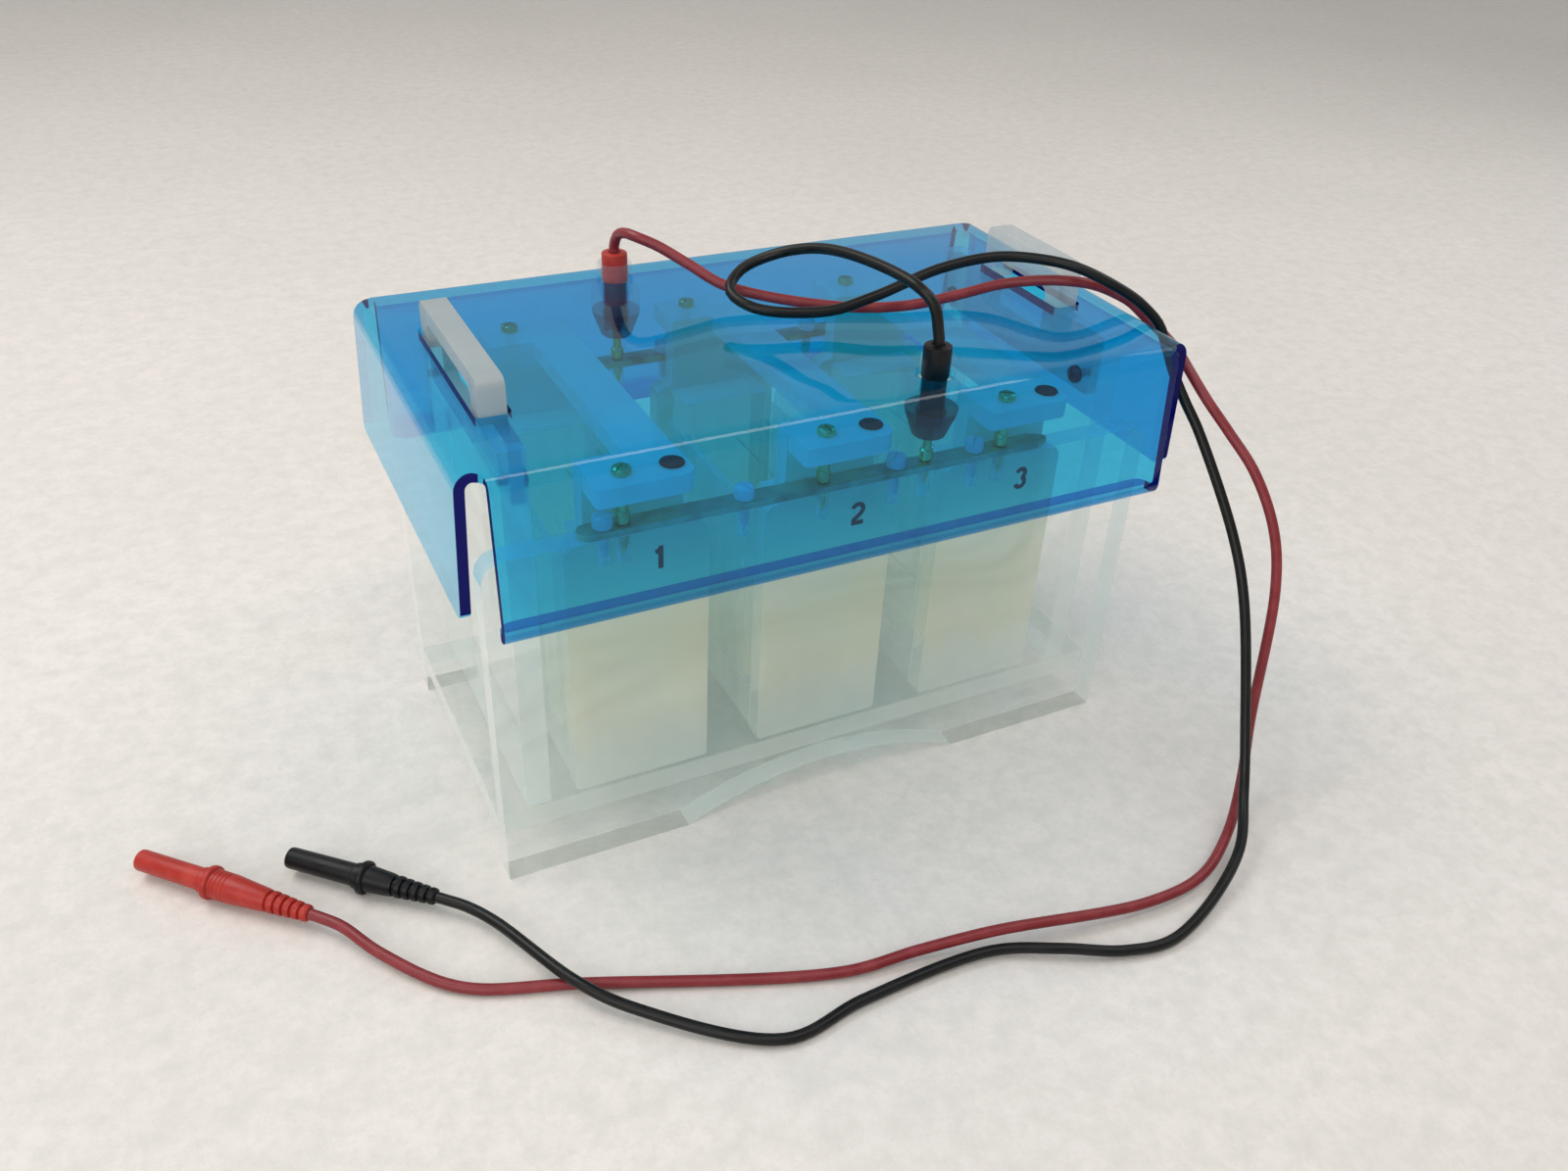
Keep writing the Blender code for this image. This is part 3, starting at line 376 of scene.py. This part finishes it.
# Sheet and its cut edges: tint, haze and its colour, then how much it mirrors
MATERIALS = {
    "clear_acrylic": sheet_material("clear_sheet", (0.985, 0.993, 0.99), 0.022, (0.84, 0.90, 0.87), 0.03),
    "clear_edge": cut_edge_material("clear_cut_edge", (0.94, 0.97, 0.96), 0.30, (0.90, 0.95, 0.93)),
    "blue_acrylic": sheet_material(
        "blue_sheet", (0.205, 0.765, 0.965), 0.010, (0.01, 0.28, 0.60), 0.032, 0.015
    ),
    "blue_lip": sheet_material("blue_lip_sheet", (0.20, 0.62, 0.89), 0.05, (0.005, 0.20, 0.55), 0.03, 0.02),
    # Sawn rim of the blue lid: deep navy, partly the sheet's own deep tint seen along its edge, partly
    # painted shade
    "blue_edge": cut_edge_material(
        "blue_cut_edge_painted_shade", (0.01, 0.02, 0.30), 0.85, (0.001, 0.001, 0.10), 0.012, 0.12
    ),
    # The lid's far rim: a paler, clearer copy of the cut edge, painted light against the navy painted shade
    # of the other rims
    "blue_far_edge": cut_edge_material(
        "blue_pale_cut_edge_painted_light", (0.33, 0.72, 0.93), 0.25, (0.08, 0.35, 0.62), 0.03, 0.5
    ),
    # The two handles are alike: the left one is painted darker and less clear as shade, the right one lighter
    # and clearer as painted light
    "left_grip": frosted_material("left_handle_acrylic_painted_shade", (0.60, 0.64, 0.64), (0.52, 0.57, 0.58), 0.12, 0.3),
    "right_grip": frosted_material(
        "right_handle_acrylic_painted_light", (0.66, 0.71, 0.72), (0.55, 0.61, 0.62), 0.54, 0.15
    ),
    "core_white": frosted_material("core_moulding", (0.95, 0.96, 0.92), (0.90, 0.92, 0.86), 0.28),
    # The cores' sides and wedges: a whiter, clearer copy of the core moulding, painted light that lifts the
    # shade between the cores
    "core_side": frosted_material("core_side_moulding", (0.97, 0.98, 0.95), (0.94, 0.96, 0.92), 0.70),
    "core_face": core_face_material(),
    "cassette_cream": frosted_material("cassette_plastic", (0.96, 0.96, 0.88), (0.93, 0.93, 0.84), 0.70),
    "nylon_white": frosted_material("nylon", (0.86, 0.90, 0.90), (0.78, 0.82, 0.83), 0.15),
    "socket_clear": frosted_material("socket_moulding", (0.66, 0.68, 0.75), (0.56, 0.58, 0.68), 0.90, 0.15),
    "red_socket_foot": frosted_material("red_in_socket", (0.20, 0.03, 0.10), (0.14, 0.02, 0.09), 0.45, 0.15),
    "black_socket_foot": frosted_material(
        "black_in_socket", (0.012, 0.012, 0.03), (0.02, 0.02, 0.05), 0.25, 0.15
    ),
    "brass": metal_material("bus_bar_metal", (0.70, 0.60, 0.41), (0.46, 0.40, 0.27), 0.45, (0.05, 1, 1)),
    "gold": metal_material("contact_metal", (0.98, 0.70, 0.30), (0.72, 0.50, 0.22), 0.28),
    "platinum": metal_material("platinum_wire", (0.75, 0.74, 0.72), (0.6, 0.6, 0.6), 0.2),
    "black_plastic": plastic_material(
        "black_moulding", (0.004, 0.004, 0.005), (0.010, 0.010, 0.011), specular=0.25
    ),
    "red_plastic": plastic_material(
        "red_moulding", (0.37, 0.020, 0.013), (0.47, 0.045, 0.032), specular=0.35
    ),
    "red_cord": plastic_material("red_insulation", (0.20, 0.012, 0.018), (0.27, 0.03, 0.035), 0.42, 500),
    "black_cord": plastic_material(
        "black_insulation", (0.003, 0.0035, 0.0035), (0.007, 0.008, 0.007), 0.34, 500, 0.3
    ),
    "maroon_bolt": plastic_material("bolt_head", (0.05, 0.005, 0.03), (0.10, 0.02, 0.06)),
    "print": plastic_material("printed_ink", (0.01, 0.014, 0.03), (0.02, 0.025, 0.045), 0.5),
}


# ---------------------------------------------------------------- pieces


def add_piece(name, bm, body, materials, stands_for=()):
    """A mesh piece that rides on a body and takes the place of CAD nodes."""
    mesh = bpy.data.meshes.new(name)
    bmesh.ops.recalc_face_normals(bm, faces=bm.faces)
    bm.to_mesh(mesh)
    bm.free()
    for material in materials:
        mesh.materials.append(MATERIALS[material])
    piece = bpy.data.objects.new(name, mesh)
    bpy.context.scene.collection.objects.link(piece)
    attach(piece, body)
    if stands_for:
        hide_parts(*stands_for)
    return piece


def smooth(piece, angle=32):
    piece.data.shade_smooth()
    piece.data.set_sharp_from_angle(angle=math.radians(angle))


def soften_edges(piece, width, segments=2, angle=40):
    modifier = piece.modifiers.new("soft_edges", "BEVEL")
    modifier.width = width
    modifier.segments = segments
    modifier.limit_method = "ANGLE"
    modifier.angle_limit = math.radians(angle)
    modifier.harden_normals = True
    modifier.miter_outer = "MITER_ARC"


def refined(node, materials, face_kind=None, width=0.0004):
    """A CAD node's own shape, its flat faces made whole, its edges softened and its cut edges told apart."""
    bm = bmesh.new()
    bm.from_mesh(nodes[node].data)
    bmesh.ops.remove_doubles(bm, verts=bm.verts, dist=2e-6)
    bmesh.ops.dissolve_limit(bm, angle_limit=math.radians(0.4), verts=bm.verts, edges=bm.edges)
    bmesh.ops.recalc_face_normals(bm, faces=bm.faces)
    if face_kind:
        for polygon in bm.faces:
            polygon.material_index = face_kind(polygon)
    piece = add_piece(node + "_fine", bm, body_of(node), materials, [node])
    smooth(piece)
    soften_edges(piece, width)
    return piece


def turned(profile, centre, axis=(0, 0, 1), sides=ROUND):
    """A bmesh turned round an axis from (radius, height); one that leaves the axis is closed as a tube."""
    rotation = Vector(axis).normalized().to_track_quat("Z", "Y")
    bm = bmesh.new()
    rings = []
    for radius, height in profile:
        count = sides if radius > 0 else 1
        ring = []
        for i in range(count):
            angle = 2 * math.pi * i / sides
            local = Vector((radius * math.cos(angle), radius * math.sin(angle), height))
            ring.append(bm.verts.new(Vector(centre) + rotation @ local))
        rings.append(ring)
    pairs = list(zip(rings, rings[1:]))
    if profile[0][0] > 0:
        pairs.append((rings[-1], rings[0]))
    for first, second in pairs:
        for i in range(sides):
            j = (i + 1) % sides
            near = [first[i % len(first)], first[j % len(first)]]
            far = [second[j % len(second)], second[i % len(second)]]
            bm.faces.new(list(dict.fromkeys(near + far)))
    return bm


def closed(profile):
    return [(0.0, profile[0][1]), *profile, (0.0, profile[-1][1])]


def block(low, high):
    bm = bmesh.new()
    made = bmesh.ops.create_cube(bm, size=1.0)
    size = Vector(high) - Vector(low)
    middle = (Vector(high) + Vector(low)) / 2
    place = Matrix.Translation(middle) @ Matrix.Diagonal((*size, 1))
    bmesh.ops.transform(bm, matrix=place, verts=made["verts"])
    return bm


def joined(shapes):
    """One bmesh that holds several separate ones."""
    whole = bmesh.new()
    for shape in shapes:
        mesh = bpy.data.meshes.new("part")
        shape.to_mesh(mesh)
        shape.free()
        whole.from_mesh(mesh)
        bpy.data.meshes.remove(mesh)
    return whole


def cut_with(piece, bm):
    """Cuts a bmesh from a piece with a Boolean, and applies it."""
    mesh = bpy.data.meshes.new("cutter")
    bmesh.ops.recalc_face_normals(bm, faces=bm.faces)
    bm.to_mesh(mesh)
    bm.free()
    cutter = bpy.data.objects.new("cutter", mesh)
    bpy.context.scene.collection.objects.link(cutter)
    modifier = piece.modifiers.new("cut", "BOOLEAN")
    modifier.operation = "DIFFERENCE"
    modifier.object = cutter
    bpy.context.view_layer.update()
    evaluated = piece.evaluated_get(bpy.context.evaluated_depsgraph_get())
    done = bpy.data.meshes.new_from_object(evaluated)
    piece.modifiers.remove(modifier)
    piece.data = done
    bpy.data.objects.remove(cutter, do_unlink=True)


# ---------------------------------------------------------------- cords


def smooth_route(points, step):
    """Points at an even step on a centripetal Catmull-Rom curve through the route's points."""
    ends = [2 * points[0] - points[1], *points, 2 * points[-1] - points[-2]]
    dense = []
    for a, b, c, d in zip(ends, ends[1:], ends[2:], ends[3:]):
        knots = [0.0]
        for first, second in ((a, b), (b, c), (c, d)):
            knots.append(knots[-1] + math.sqrt((second - first).length))
        t0, t1, t2, t3 = knots
        for i in range(24):
            t = t1 + (t2 - t1) * i / 24
            ab = a.lerp(b, (t - t0) / (t1 - t0))
            bc = b.lerp(c, (t - t1) / (t2 - t1))
            cd = c.lerp(d, (t - t2) / (t3 - t2))
            first = ab.lerp(bc, (t - t0) / (t2 - t0))
            second = bc.lerp(cd, (t - t1) / (t3 - t1))
            dense.append(first.lerp(second, (t - t1) / (t2 - t1)))
    dense.append(points[-1])
    lengths = [0.0]
    for first, second in zip(dense, dense[1:]):
        lengths.append(lengths[-1] + (second - first).length)
    count = round(lengths[-1] / step)
    route = []
    k = 0
    for i in range(count + 1):
        wanted = lengths[-1] * i / count
        while k < len(dense) - 2 and lengths[k + 1] < wanted:
            k += 1
        route.append(dense[k].lerp(dense[k + 1], (wanted - lengths[k]) / (lengths[k + 1] - lengths[k])))
    return route


def add_cord(colour):
    start, *between, end = [Vector(point) / 1000 for point in ROUTES[colour]]
    route = [start, *smooth_route(between, CORD_STEP), end]
    curve = bpy.data.curves.new(f"{colour}_lead_cord", "CURVE")
    curve.dimensions = "3D"
    curve.bevel_depth = CORD_DIAMETER / 2
    curve.bevel_resolution = 6
    curve.use_fill_caps = True
    spline = curve.splines.new("POLY")
    spline.points.add(len(route) - 1)
    for point, place in zip(spline.points, route):
        point.co = (*place, 1.0)
    spline.use_smooth = True
    curve.materials.append(MATERIALS[f"{colour}_cord"])
    cord = bpy.data.objects.new(f"{colour}_lead_cord", curve)
    bpy.context.scene.collection.objects.link(cord)
    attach(cord, "lid")
    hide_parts(f"{colour}_cord")
    plug = add_test_plug(colour, start_of_plug=end)


def add_test_plug(colour, start_of_plug):
    """The plug at a cord's far end: ribbed relief, tapered body, ringed grip, flange and hollow sleeve."""
    low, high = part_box(f"{colour}_test_plug")
    middle = (low + high) / 2
    axis = Vector((middle.x - start_of_plug.x, middle.y - start_of_plug.y, 0)).normalized()
    length = 2 * (Vector((middle.x, middle.y)) - Vector((start_of_plug.x, start_of_plug.y))).length - 0.0035
    profile = [(0.0030, 0.0004)]
    for rib in range(5):
        base = 0.0008 + rib * 0.0042
        radius = 0.0039 + rib * 0.0003
        profile += [
            (radius - 0.0003, base), (radius, base + 0.0005), (radius + 0.0001, base + 0.0024),
            (radius - 0.0003, base + 0.0029), (radius - 0.0011, base + 0.0031),
            (radius - 0.0011, base + 0.0040),
        ]
    profile += [(0.0050, 0.0220), (0.0054, 0.0235), (0.0067, 0.0400)]
    grip_end = length - 0.0415
    position = 0.0415
    while position < grip_end - 0.001:
        profile += [
            (0.0068, position), (0.0068, position + 0.0010),
            (0.0065, position + 0.0013), (0.0065, position + 0.0017),
        ]
        position += 0.0021
    profile += [
        (0.0068, grip_end), (0.0078, length - 0.0409), (0.0080, length - 0.0405), (0.0080, length - 0.0390),
        (0.0078, length - 0.0385), (0.0061, length - 0.0378), (0.0060, length - 0.0350),
        (0.0053, length - 0.0343), (0.0051, length - 0.0010), (0.0048, length), (0.0038, length),
        (0.0036, length - 0.0006), (0.0034, length - 0.0275),
    ]
    origin = Vector((start_of_plug.x, start_of_plug.y, start_of_plug.z))
    whole = [(0.0, profile[0][1]), *profile, (0.0, length - 0.0275)]
    bm = turned(whole, origin, axis)
    plastic = f"{colour}_plastic"
    piece = add_piece(f"{colour}_shrouded_plug", bm, "lid", [plastic], [f"{colour}_test_plug"])
    smooth(piece)
    return piece


# ---------------------------------------------------------------- tank


def sheet_faces(axis):
    """A rule that gives 1 for a sheet's cut edges: the faces whose normals don't lie along the axis."""
    return lambda polygon: int(abs(polygon.normal[axis]) < 0.9)


def add_tank():
    sheet = ["clear_acrylic", "clear_edge"]
    refined("front_plate", sheet, sheet_faces(1))
    refined("back_plate", sheet, sheet_faces(1))
    refined("floor_plate", sheet, sheet_faces(2))
    for side, sign in (("left", -1), ("right", 1)):
        refined(f"{side}_end_wall", sheet, sheet_faces(0))
        # the left handle takes the painted-shade copy of the handle acrylic, the right one the painted-light
        # copy
        refined(f"{side}_handle", [f"{side}_grip"], width=0.0007)
        for number in (1, 2):
            add_handle_bolt(f"{side}_handle_bolt_{number}", sign)
    for bar in ("cathode", "anode"):
        refined(f"{bar}_bus_bar", ["brass"], width=0.0003)
    for node in sorted(n for n in nodes if "bar_screw" in n):
        add_bar_screw(node)


def centre_of(node):
    low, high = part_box(node)
    return (low + high) / 2


def add_handle_bolt(node, side):
    """A domed head with a hexagonal recess, on a threaded shank."""
    low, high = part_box(node)
    middle = (low + high) / 2
    inner = min(abs(low.x), abs(high.x))
    outer = max(abs(low.x), abs(high.x))
    head = inner + 0.0032
    profile = [
        (0.0030, inner), (0.0038, inner + 0.0003), (0.0043, inner + 0.0009), (0.0045, inner + 0.0017),
        (0.0045, head - 0.0002), (0.0043, head), (0.0020, head),
    ]
    position = head + 0.0002
    while position < outer - 0.0006:
        profile += [(0.0020, position), (0.0017, position + 0.0003)]
        position += 0.0006
    profile.append((0.0014, outer))
    bm = turned(closed(profile), (0, middle.y, middle.z), (side, 0, 0))
    piece = add_piece(node + "_fine", bm, "tank", ["maroon_bolt"], [node])
    recess = closed([(0.0019, inner - 0.001), (0.0019, inner + 0.0018)])
    cut_with(piece, turned(recess, (0, middle.y, middle.z), (side, 0, 0), 6))
    smooth(piece)


def add_bar_screw(node):
    """A nylon cap screw with a slot across its head."""
    low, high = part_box(node)
    middle = (low + high) / 2
    seat = high.z - 0.006
    profile = [(0.0015, low.z)]
    position = low.z + 0.0004
    while position < seat - 0.0008:
        profile += [(0.0021, position), (0.0018, position + 0.0004)]
        position += 0.0008
    profile += [
        (0.0020, seat), (0.0043, seat), (0.0045, seat + 0.0002), (0.0045, seat + 0.0044),
        (0.0043, seat + 0.0052), (0.0037, seat + 0.0058), (0.0030, high.z),
    ]
    bm = turned(closed(profile), (middle.x, middle.y, 0))
    piece = add_piece(node + "_fine", bm, "tank", ["nylon_white"], [node])
    turn = random.Random(node).uniform(0, math.pi)
    slot = block((-0.006, -0.0006, high.z - 0.0016), (0.006, 0.0006, high.z + 0.001))
    bmesh.ops.rotate(slot, verts=slot.verts, cent=(0, 0, 0), matrix=Matrix.Rotation(turn, 3, "Z"))
    bmesh.ops.translate(slot, verts=slot.verts, vec=(middle.x, middle.y, 0))
    cut_with(piece, slot)
    smooth(piece)


def bend_line(centre, radius, first, last, steps=14):
    """Points on an arc, its angles in degrees."""
    points = []
    for i in range(steps + 1):
        angle = math.radians(first + (last - first) * i / steps)
        points.append((centre[0] + radius * math.cos(angle), centre[1] + radius * math.sin(angle)))
    return points


def digit_lines(number):
    """A digit's strokes as lines through points, in a box one unit high."""
    if number == 1:
        return [[(0.06, 0.0), (0.06, 1.0)], [(0.06, 0.90), (-0.02, 0.80), (-0.16, 0.75)]]
    if number == 2:
        top = bend_line((0, 0.70), 0.235, 165, -25)
        return [[*top, (0.12, 0.47), (-0.20, 0.20), (-0.25, 0.085), (0.28, 0.085)]]
    upper = bend_line((0, 0.715), 0.205, 165, -80)
    lower = bend_line((0, 0.29), 0.225, 80, -165)
    return [upper, lower]


def stroke(bm, line, width, across, place):
    """A flat ribbon of a given width along a line, its ends square."""
    points = [Vector(point) for point in line]
    sides = []
    for i, point in enumerate(points):
        ahead = points[min(i + 1, len(points) - 1)] - points[max(i - 1, 0)]
        normal = Vector((-ahead.y, ahead.x)).normalized() * width / 2
        sides.append([bm.verts.new(place(point + offset, across)) for offset in (normal, -normal)])
    for first, second in zip(sides, sides[1:]):
        bm.faces.new((first[0], first[1], second[1], second[0]))


def add_numbers():
    """The lane numbers printed on the front plate."""
    low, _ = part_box("front_plate")
    for number, offset in zip(CORES, (0.0044, 0.0063, 0.0010)):
        middle = centre_of(f"core_{number}_body").x + offset

        def place(point, layer):
            height = NUMBER_Z + (point.y - 0.5) * NUMBER_HEIGHT
            return (middle + point.x * NUMBER_HEIGHT, low.y - layer, height)

        bm = bmesh.new()
        for i, line in enumerate(digit_lines(number)):
            stroke(bm, line, NUMBER_STROKE, 0.00010 + i * 0.00003, place)
        add_piece(f"lane_number_{number}", bm, "tank", ["print"])


# ---------------------------------------------------------------- cores


def core_face_kind(polygon):
    """1 for a core's broad front and back panels, 2 for the sides below its neck, which take a whiter,
    clearer copy of the moulding as painted light against the shade between the cores, 0 above.
    """
    middle = polygon.calc_center_median()
    if middle.z > CORE_NECK_Z:
        return 0
    if abs(polygon.normal.y) > 0.9 and abs(middle.y) > PANEL_Y:
        return 1
    return 2


def add_core(number):
    refined(f"core_{number}_body", ["core_white", "core_face", "core_side"], core_face_kind, width=0.0006)
    # the wedge takes the same whiter, clearer painted-light copy as the core's sides
    refined(f"core_{number}_tension_wedge", ["core_side"], width=0.0006)
    for side in ("cathode", "anode"):
        add_contact_pin(f"core_{number}_{side}_pin")
        add_wire(f"core_{number}_{side}_wire")
    for side in ("left", "right"):
        add_cassette(f"core_{number}_{side}_cassette", -1 if side == "left" else 1)
    add_dot(f"core_{number}_polarity_dot")


def add_contact_pin(node):
    """A slotted cheese head on the ear, a tube, a collar and a pointed tip."""
    low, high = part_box(node)
    middle = (low + high) / 2
    shelf = high.z - 0.0034
    under = shelf - 0.0096
    collar = 0.1809
    profile = [
        (0.0003, low.z), (0.0008, low.z + 0.0006), (0.0020, low.z + 0.0048), (0.0021, low.z + 0.0055),
        (0.0021, collar), (0.0031, collar), (0.0033, collar + 0.0003), (0.0033, collar + 0.0048),
        (0.0031, collar + 0.0052), (0.0026, collar + 0.0055), (0.0026, under - 0.0002), (0.0024, under),
        (0.0020, under), (0.0020, shelf), (0.0040, shelf), (0.0042, shelf + 0.0002), (0.0042, shelf + 0.0020),
        (0.0039, shelf + 0.0027), (0.0031, shelf + 0.0032), (0.0018, high.z),
    ]
    bm = turned(closed(profile), (middle.x, middle.y, 0))
    piece = add_piece(node + "_fine", bm, body_of(node), ["gold"], [node])
    turn = random.Random(node).uniform(0, math.pi)
    slot = block((-0.006, -0.00045, high.z - 0.0013), (0.006, 0.00045, high.z + 0.001))
    bmesh.ops.rotate(slot, verts=slot.verts, cent=(0, 0, 0), matrix=Matrix.Rotation(turn, 3, "Z"))
    bmesh.ops.translate(slot, verts=slot.verts, vec=(middle.x, middle.y, 0))
    cut_with(piece, slot)
    smooth(piece)


def add_wire(node):
    low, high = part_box(node)
    middle = (low + high) / 2
    profile = closed([(0.0003, low.y), (0.0003, high.y)])
    piece = add_piece(node + "_fine", turned(profile, (middle.x, 0, middle.z), (0, 1, 0), 16), body_of(node),
                      ["platinum"], [node])
    smooth(piece)


def add_dot(node):
    low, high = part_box(node)
    middle = (low + high) / 2
    profile = closed([(0.0052, low.z), (0.0055, low.z + 0.0003), (0.0055, low.z + 0.0006), (0.0052, high.z)])
    piece = add_piece(node + "_fine", turned(profile, (middle.x, middle.y, 0)), body_of(node),
                      ["black_plastic"], [node])
    smooth(piece)


def add_cassette(node, side):
    """Two moulded plates round a gel, the inner one lower, with side strips and wells between."""
    low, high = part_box(node)
    outer_x = low.x if side < 0 else high.x
    inner_x = high.x if side < 0 else low.x
    gel = inner_x + side * 0.0028
    shapes = [
        block(*ordered((gel + side * 0.0008, low.y, low.z), (outer_x, high.y, high.z))),
        block(*ordered((inner_x, low.y, low.z), (gel, high.y, high.z - 0.009))),
    ]
    teeth = 10
    pitch = (high.y - low.y - 0.020) / teeth
    for tooth in range(teeth + 1):
        y = low.y + 0.010 + tooth * pitch
        shapes.append(block(*ordered(
            (gel - side * 0.0002, y - 0.0006, high.z - 0.024),
            (gel + side * 0.0010, y + 0.0006, high.z - 0.0085),
        )))
    for y_low in (low.y, high.y - 0.0055):
        shapes.append(block(*ordered(
            (gel - side * 0.0002, y_low, low.z),
            (gel + side * 0.001, y_low + 0.0055, high.z - 0.010),
        )))
    cream = "cassette_cream"
    piece = add_piece(node + "_fine", joined(shapes), body_of(node), [cream], [node])
    smooth(piece)
    soften_edges(piece, 0.0003, 1)


def ordered(first, second):
    return tuple(map(min, first, second)), tuple(map(max, first, second))


# ---------------------------------------------------------------- lid


def lid_face_kind(polygon):
    """0 for polished faces, 1 for the sawn rim in dark navy, its deep tint partly the sheet's own colour seen
    along its edge and partly painted shade, 2 for lips and deeper-blue bends, 3 for the far rim, a paler,
    clearer cut edge as painted light.
    """
    middle = polygon.calc_center_median()
    normal = polygon.normal
    across_front = abs(normal.x) > 0.9 and abs(middle.y) > 0.088
    across_end = abs(normal.y) > 0.9 and abs(middle.x) > 0.162
    on_top = abs(middle.x) < FLAT_TOP[0] and abs(middle.y) < FLAT_TOP[1] and middle.z > HOLES_Z
    if abs(normal.z) < 0.1 and on_top:
        around_lead = abs(abs(middle.y) - LEAD_Y) < LEAD_ROOM[1] and abs(middle.x) < LEAD_ROOM[0]
        # the slots' end faces and the rims round the lead holes take the polished face; only the other rims
        # carry the navy painted shade
        slot_end = abs(middle.y) < SLOT_HALF_Y and abs(normal.y) > 0.3 and normal.y * middle.y < 0
        return 0 if around_lead or slot_end else 1
    in_lip = abs(middle.y) < 0.1065 and abs(middle.x) < 0.168 and middle.z < LIP_Z
    if in_lip and not across_front:
        return 2
    if middle.z > 0.2 and 0.1 < abs(normal.z) < 0.98 and (middle.y > 0.0925 or middle.x > 0.1705):
        return 2
    if across_end and normal.y > 0.9 and middle.y > 0:
        return 3
    return int(across_front or across_end)


def add_lid():
    blues = ["blue_acrylic", "blue_edge", "blue_lip", "blue_far_edge"]
    refined("lid_shell", blues, lid_face_kind, width=0.0003)
    for colour in ("red", "black"):
        add_socket(colour)
        add_lead_plug(colour)
        add_lead_pin(colour)


def add_socket(colour):
    node = f"{colour}_lead_socket"
    low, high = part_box(node)
    middle = (low + high) / 2
    flange = 0.2197
    profile = [
        (0.0063, low.z), (0.0070, low.z), (0.0080, low.z + 0.0008), (0.0118, low.z + 0.0110),
        (0.0124, low.z + 0.0140), (0.0125, low.z + 0.0160), (0.0125, flange - 0.0008), (0.0121, flange),
        (0.0088, flange),
        (0.0088, high.z - 0.0006), (0.0084, high.z), (0.0077, high.z), (0.0073, high.z - 0.0005),
        (0.0073, low.z + 0.0120), (0.0062, low.z + 0.0090),
    ]
    bm = turned(profile, (middle.x, middle.y, 0), sides=48)
    for polygon in bm.faces:
        polygon.material_index = int(polygon.calc_center_median().z < 0.2085)
    materials = ["socket_clear", f"{colour}_socket_foot"]
    piece = add_piece(node + "_fine", bm, "lid", materials, [node])
    smooth(piece)


def add_lead_plug(colour):
    node = f"{colour}_lead_plug"
    low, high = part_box(node)
    middle = (low + high) / 2
    profile = [
        (0.0042, low.z), (0.0050, low.z + 0.0003), (0.0057, low.z + 0.0014), (0.0058, low.z + 0.0030),
        (0.0058, high.z - 0.0155), (0.0063, high.z - 0.0150), (0.0065, high.z - 0.0145),
        (0.0065, high.z - 0.0012), (0.0063, high.z - 0.0004), (0.0058, high.z - 0.0001), (0.0032, high.z),
        (0.0030, high.z - 0.0006),
    ]
    whole = [(0.0, low.z), *profile, (0.0, high.z - 0.0006)]
    piece = add_piece(node + "_fine", turned(whole, (middle.x, middle.y, 0)), "lid",
                      [f"{colour}_plastic"], [node])
    smooth(piece)


def add_lead_pin(colour):
    node = f"{colour}_lead_pin"
    low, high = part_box(node)
    middle = (low + high) / 2
    collar = 0.1816
    profile = [
        (0.0003, low.z), (0.0008, low.z + 0.0006), (0.0019, low.z + 0.0050), (0.00215, low.z + 0.0062),
        (0.00215, collar), (0.0031, collar), (0.0033, collar + 0.0003), (0.0033, collar + 0.0042),
        (0.0031, collar + 0.0045), (0.0022, collar + 0.0053), (0.0022, high.z),
    ]
    bm = turned(closed(profile), (middle.x, middle.y, 0))
    piece = add_piece(node + "_fine", bm, "lid", ["gold"], [node])
    smooth(piece)


add_camera()
for cord_colour in ROUTES:
    add_cord(cord_colour)
add_stage()
add_tank()
add_numbers()
for core_number in CORES:
    add_core(core_number)
add_lid()
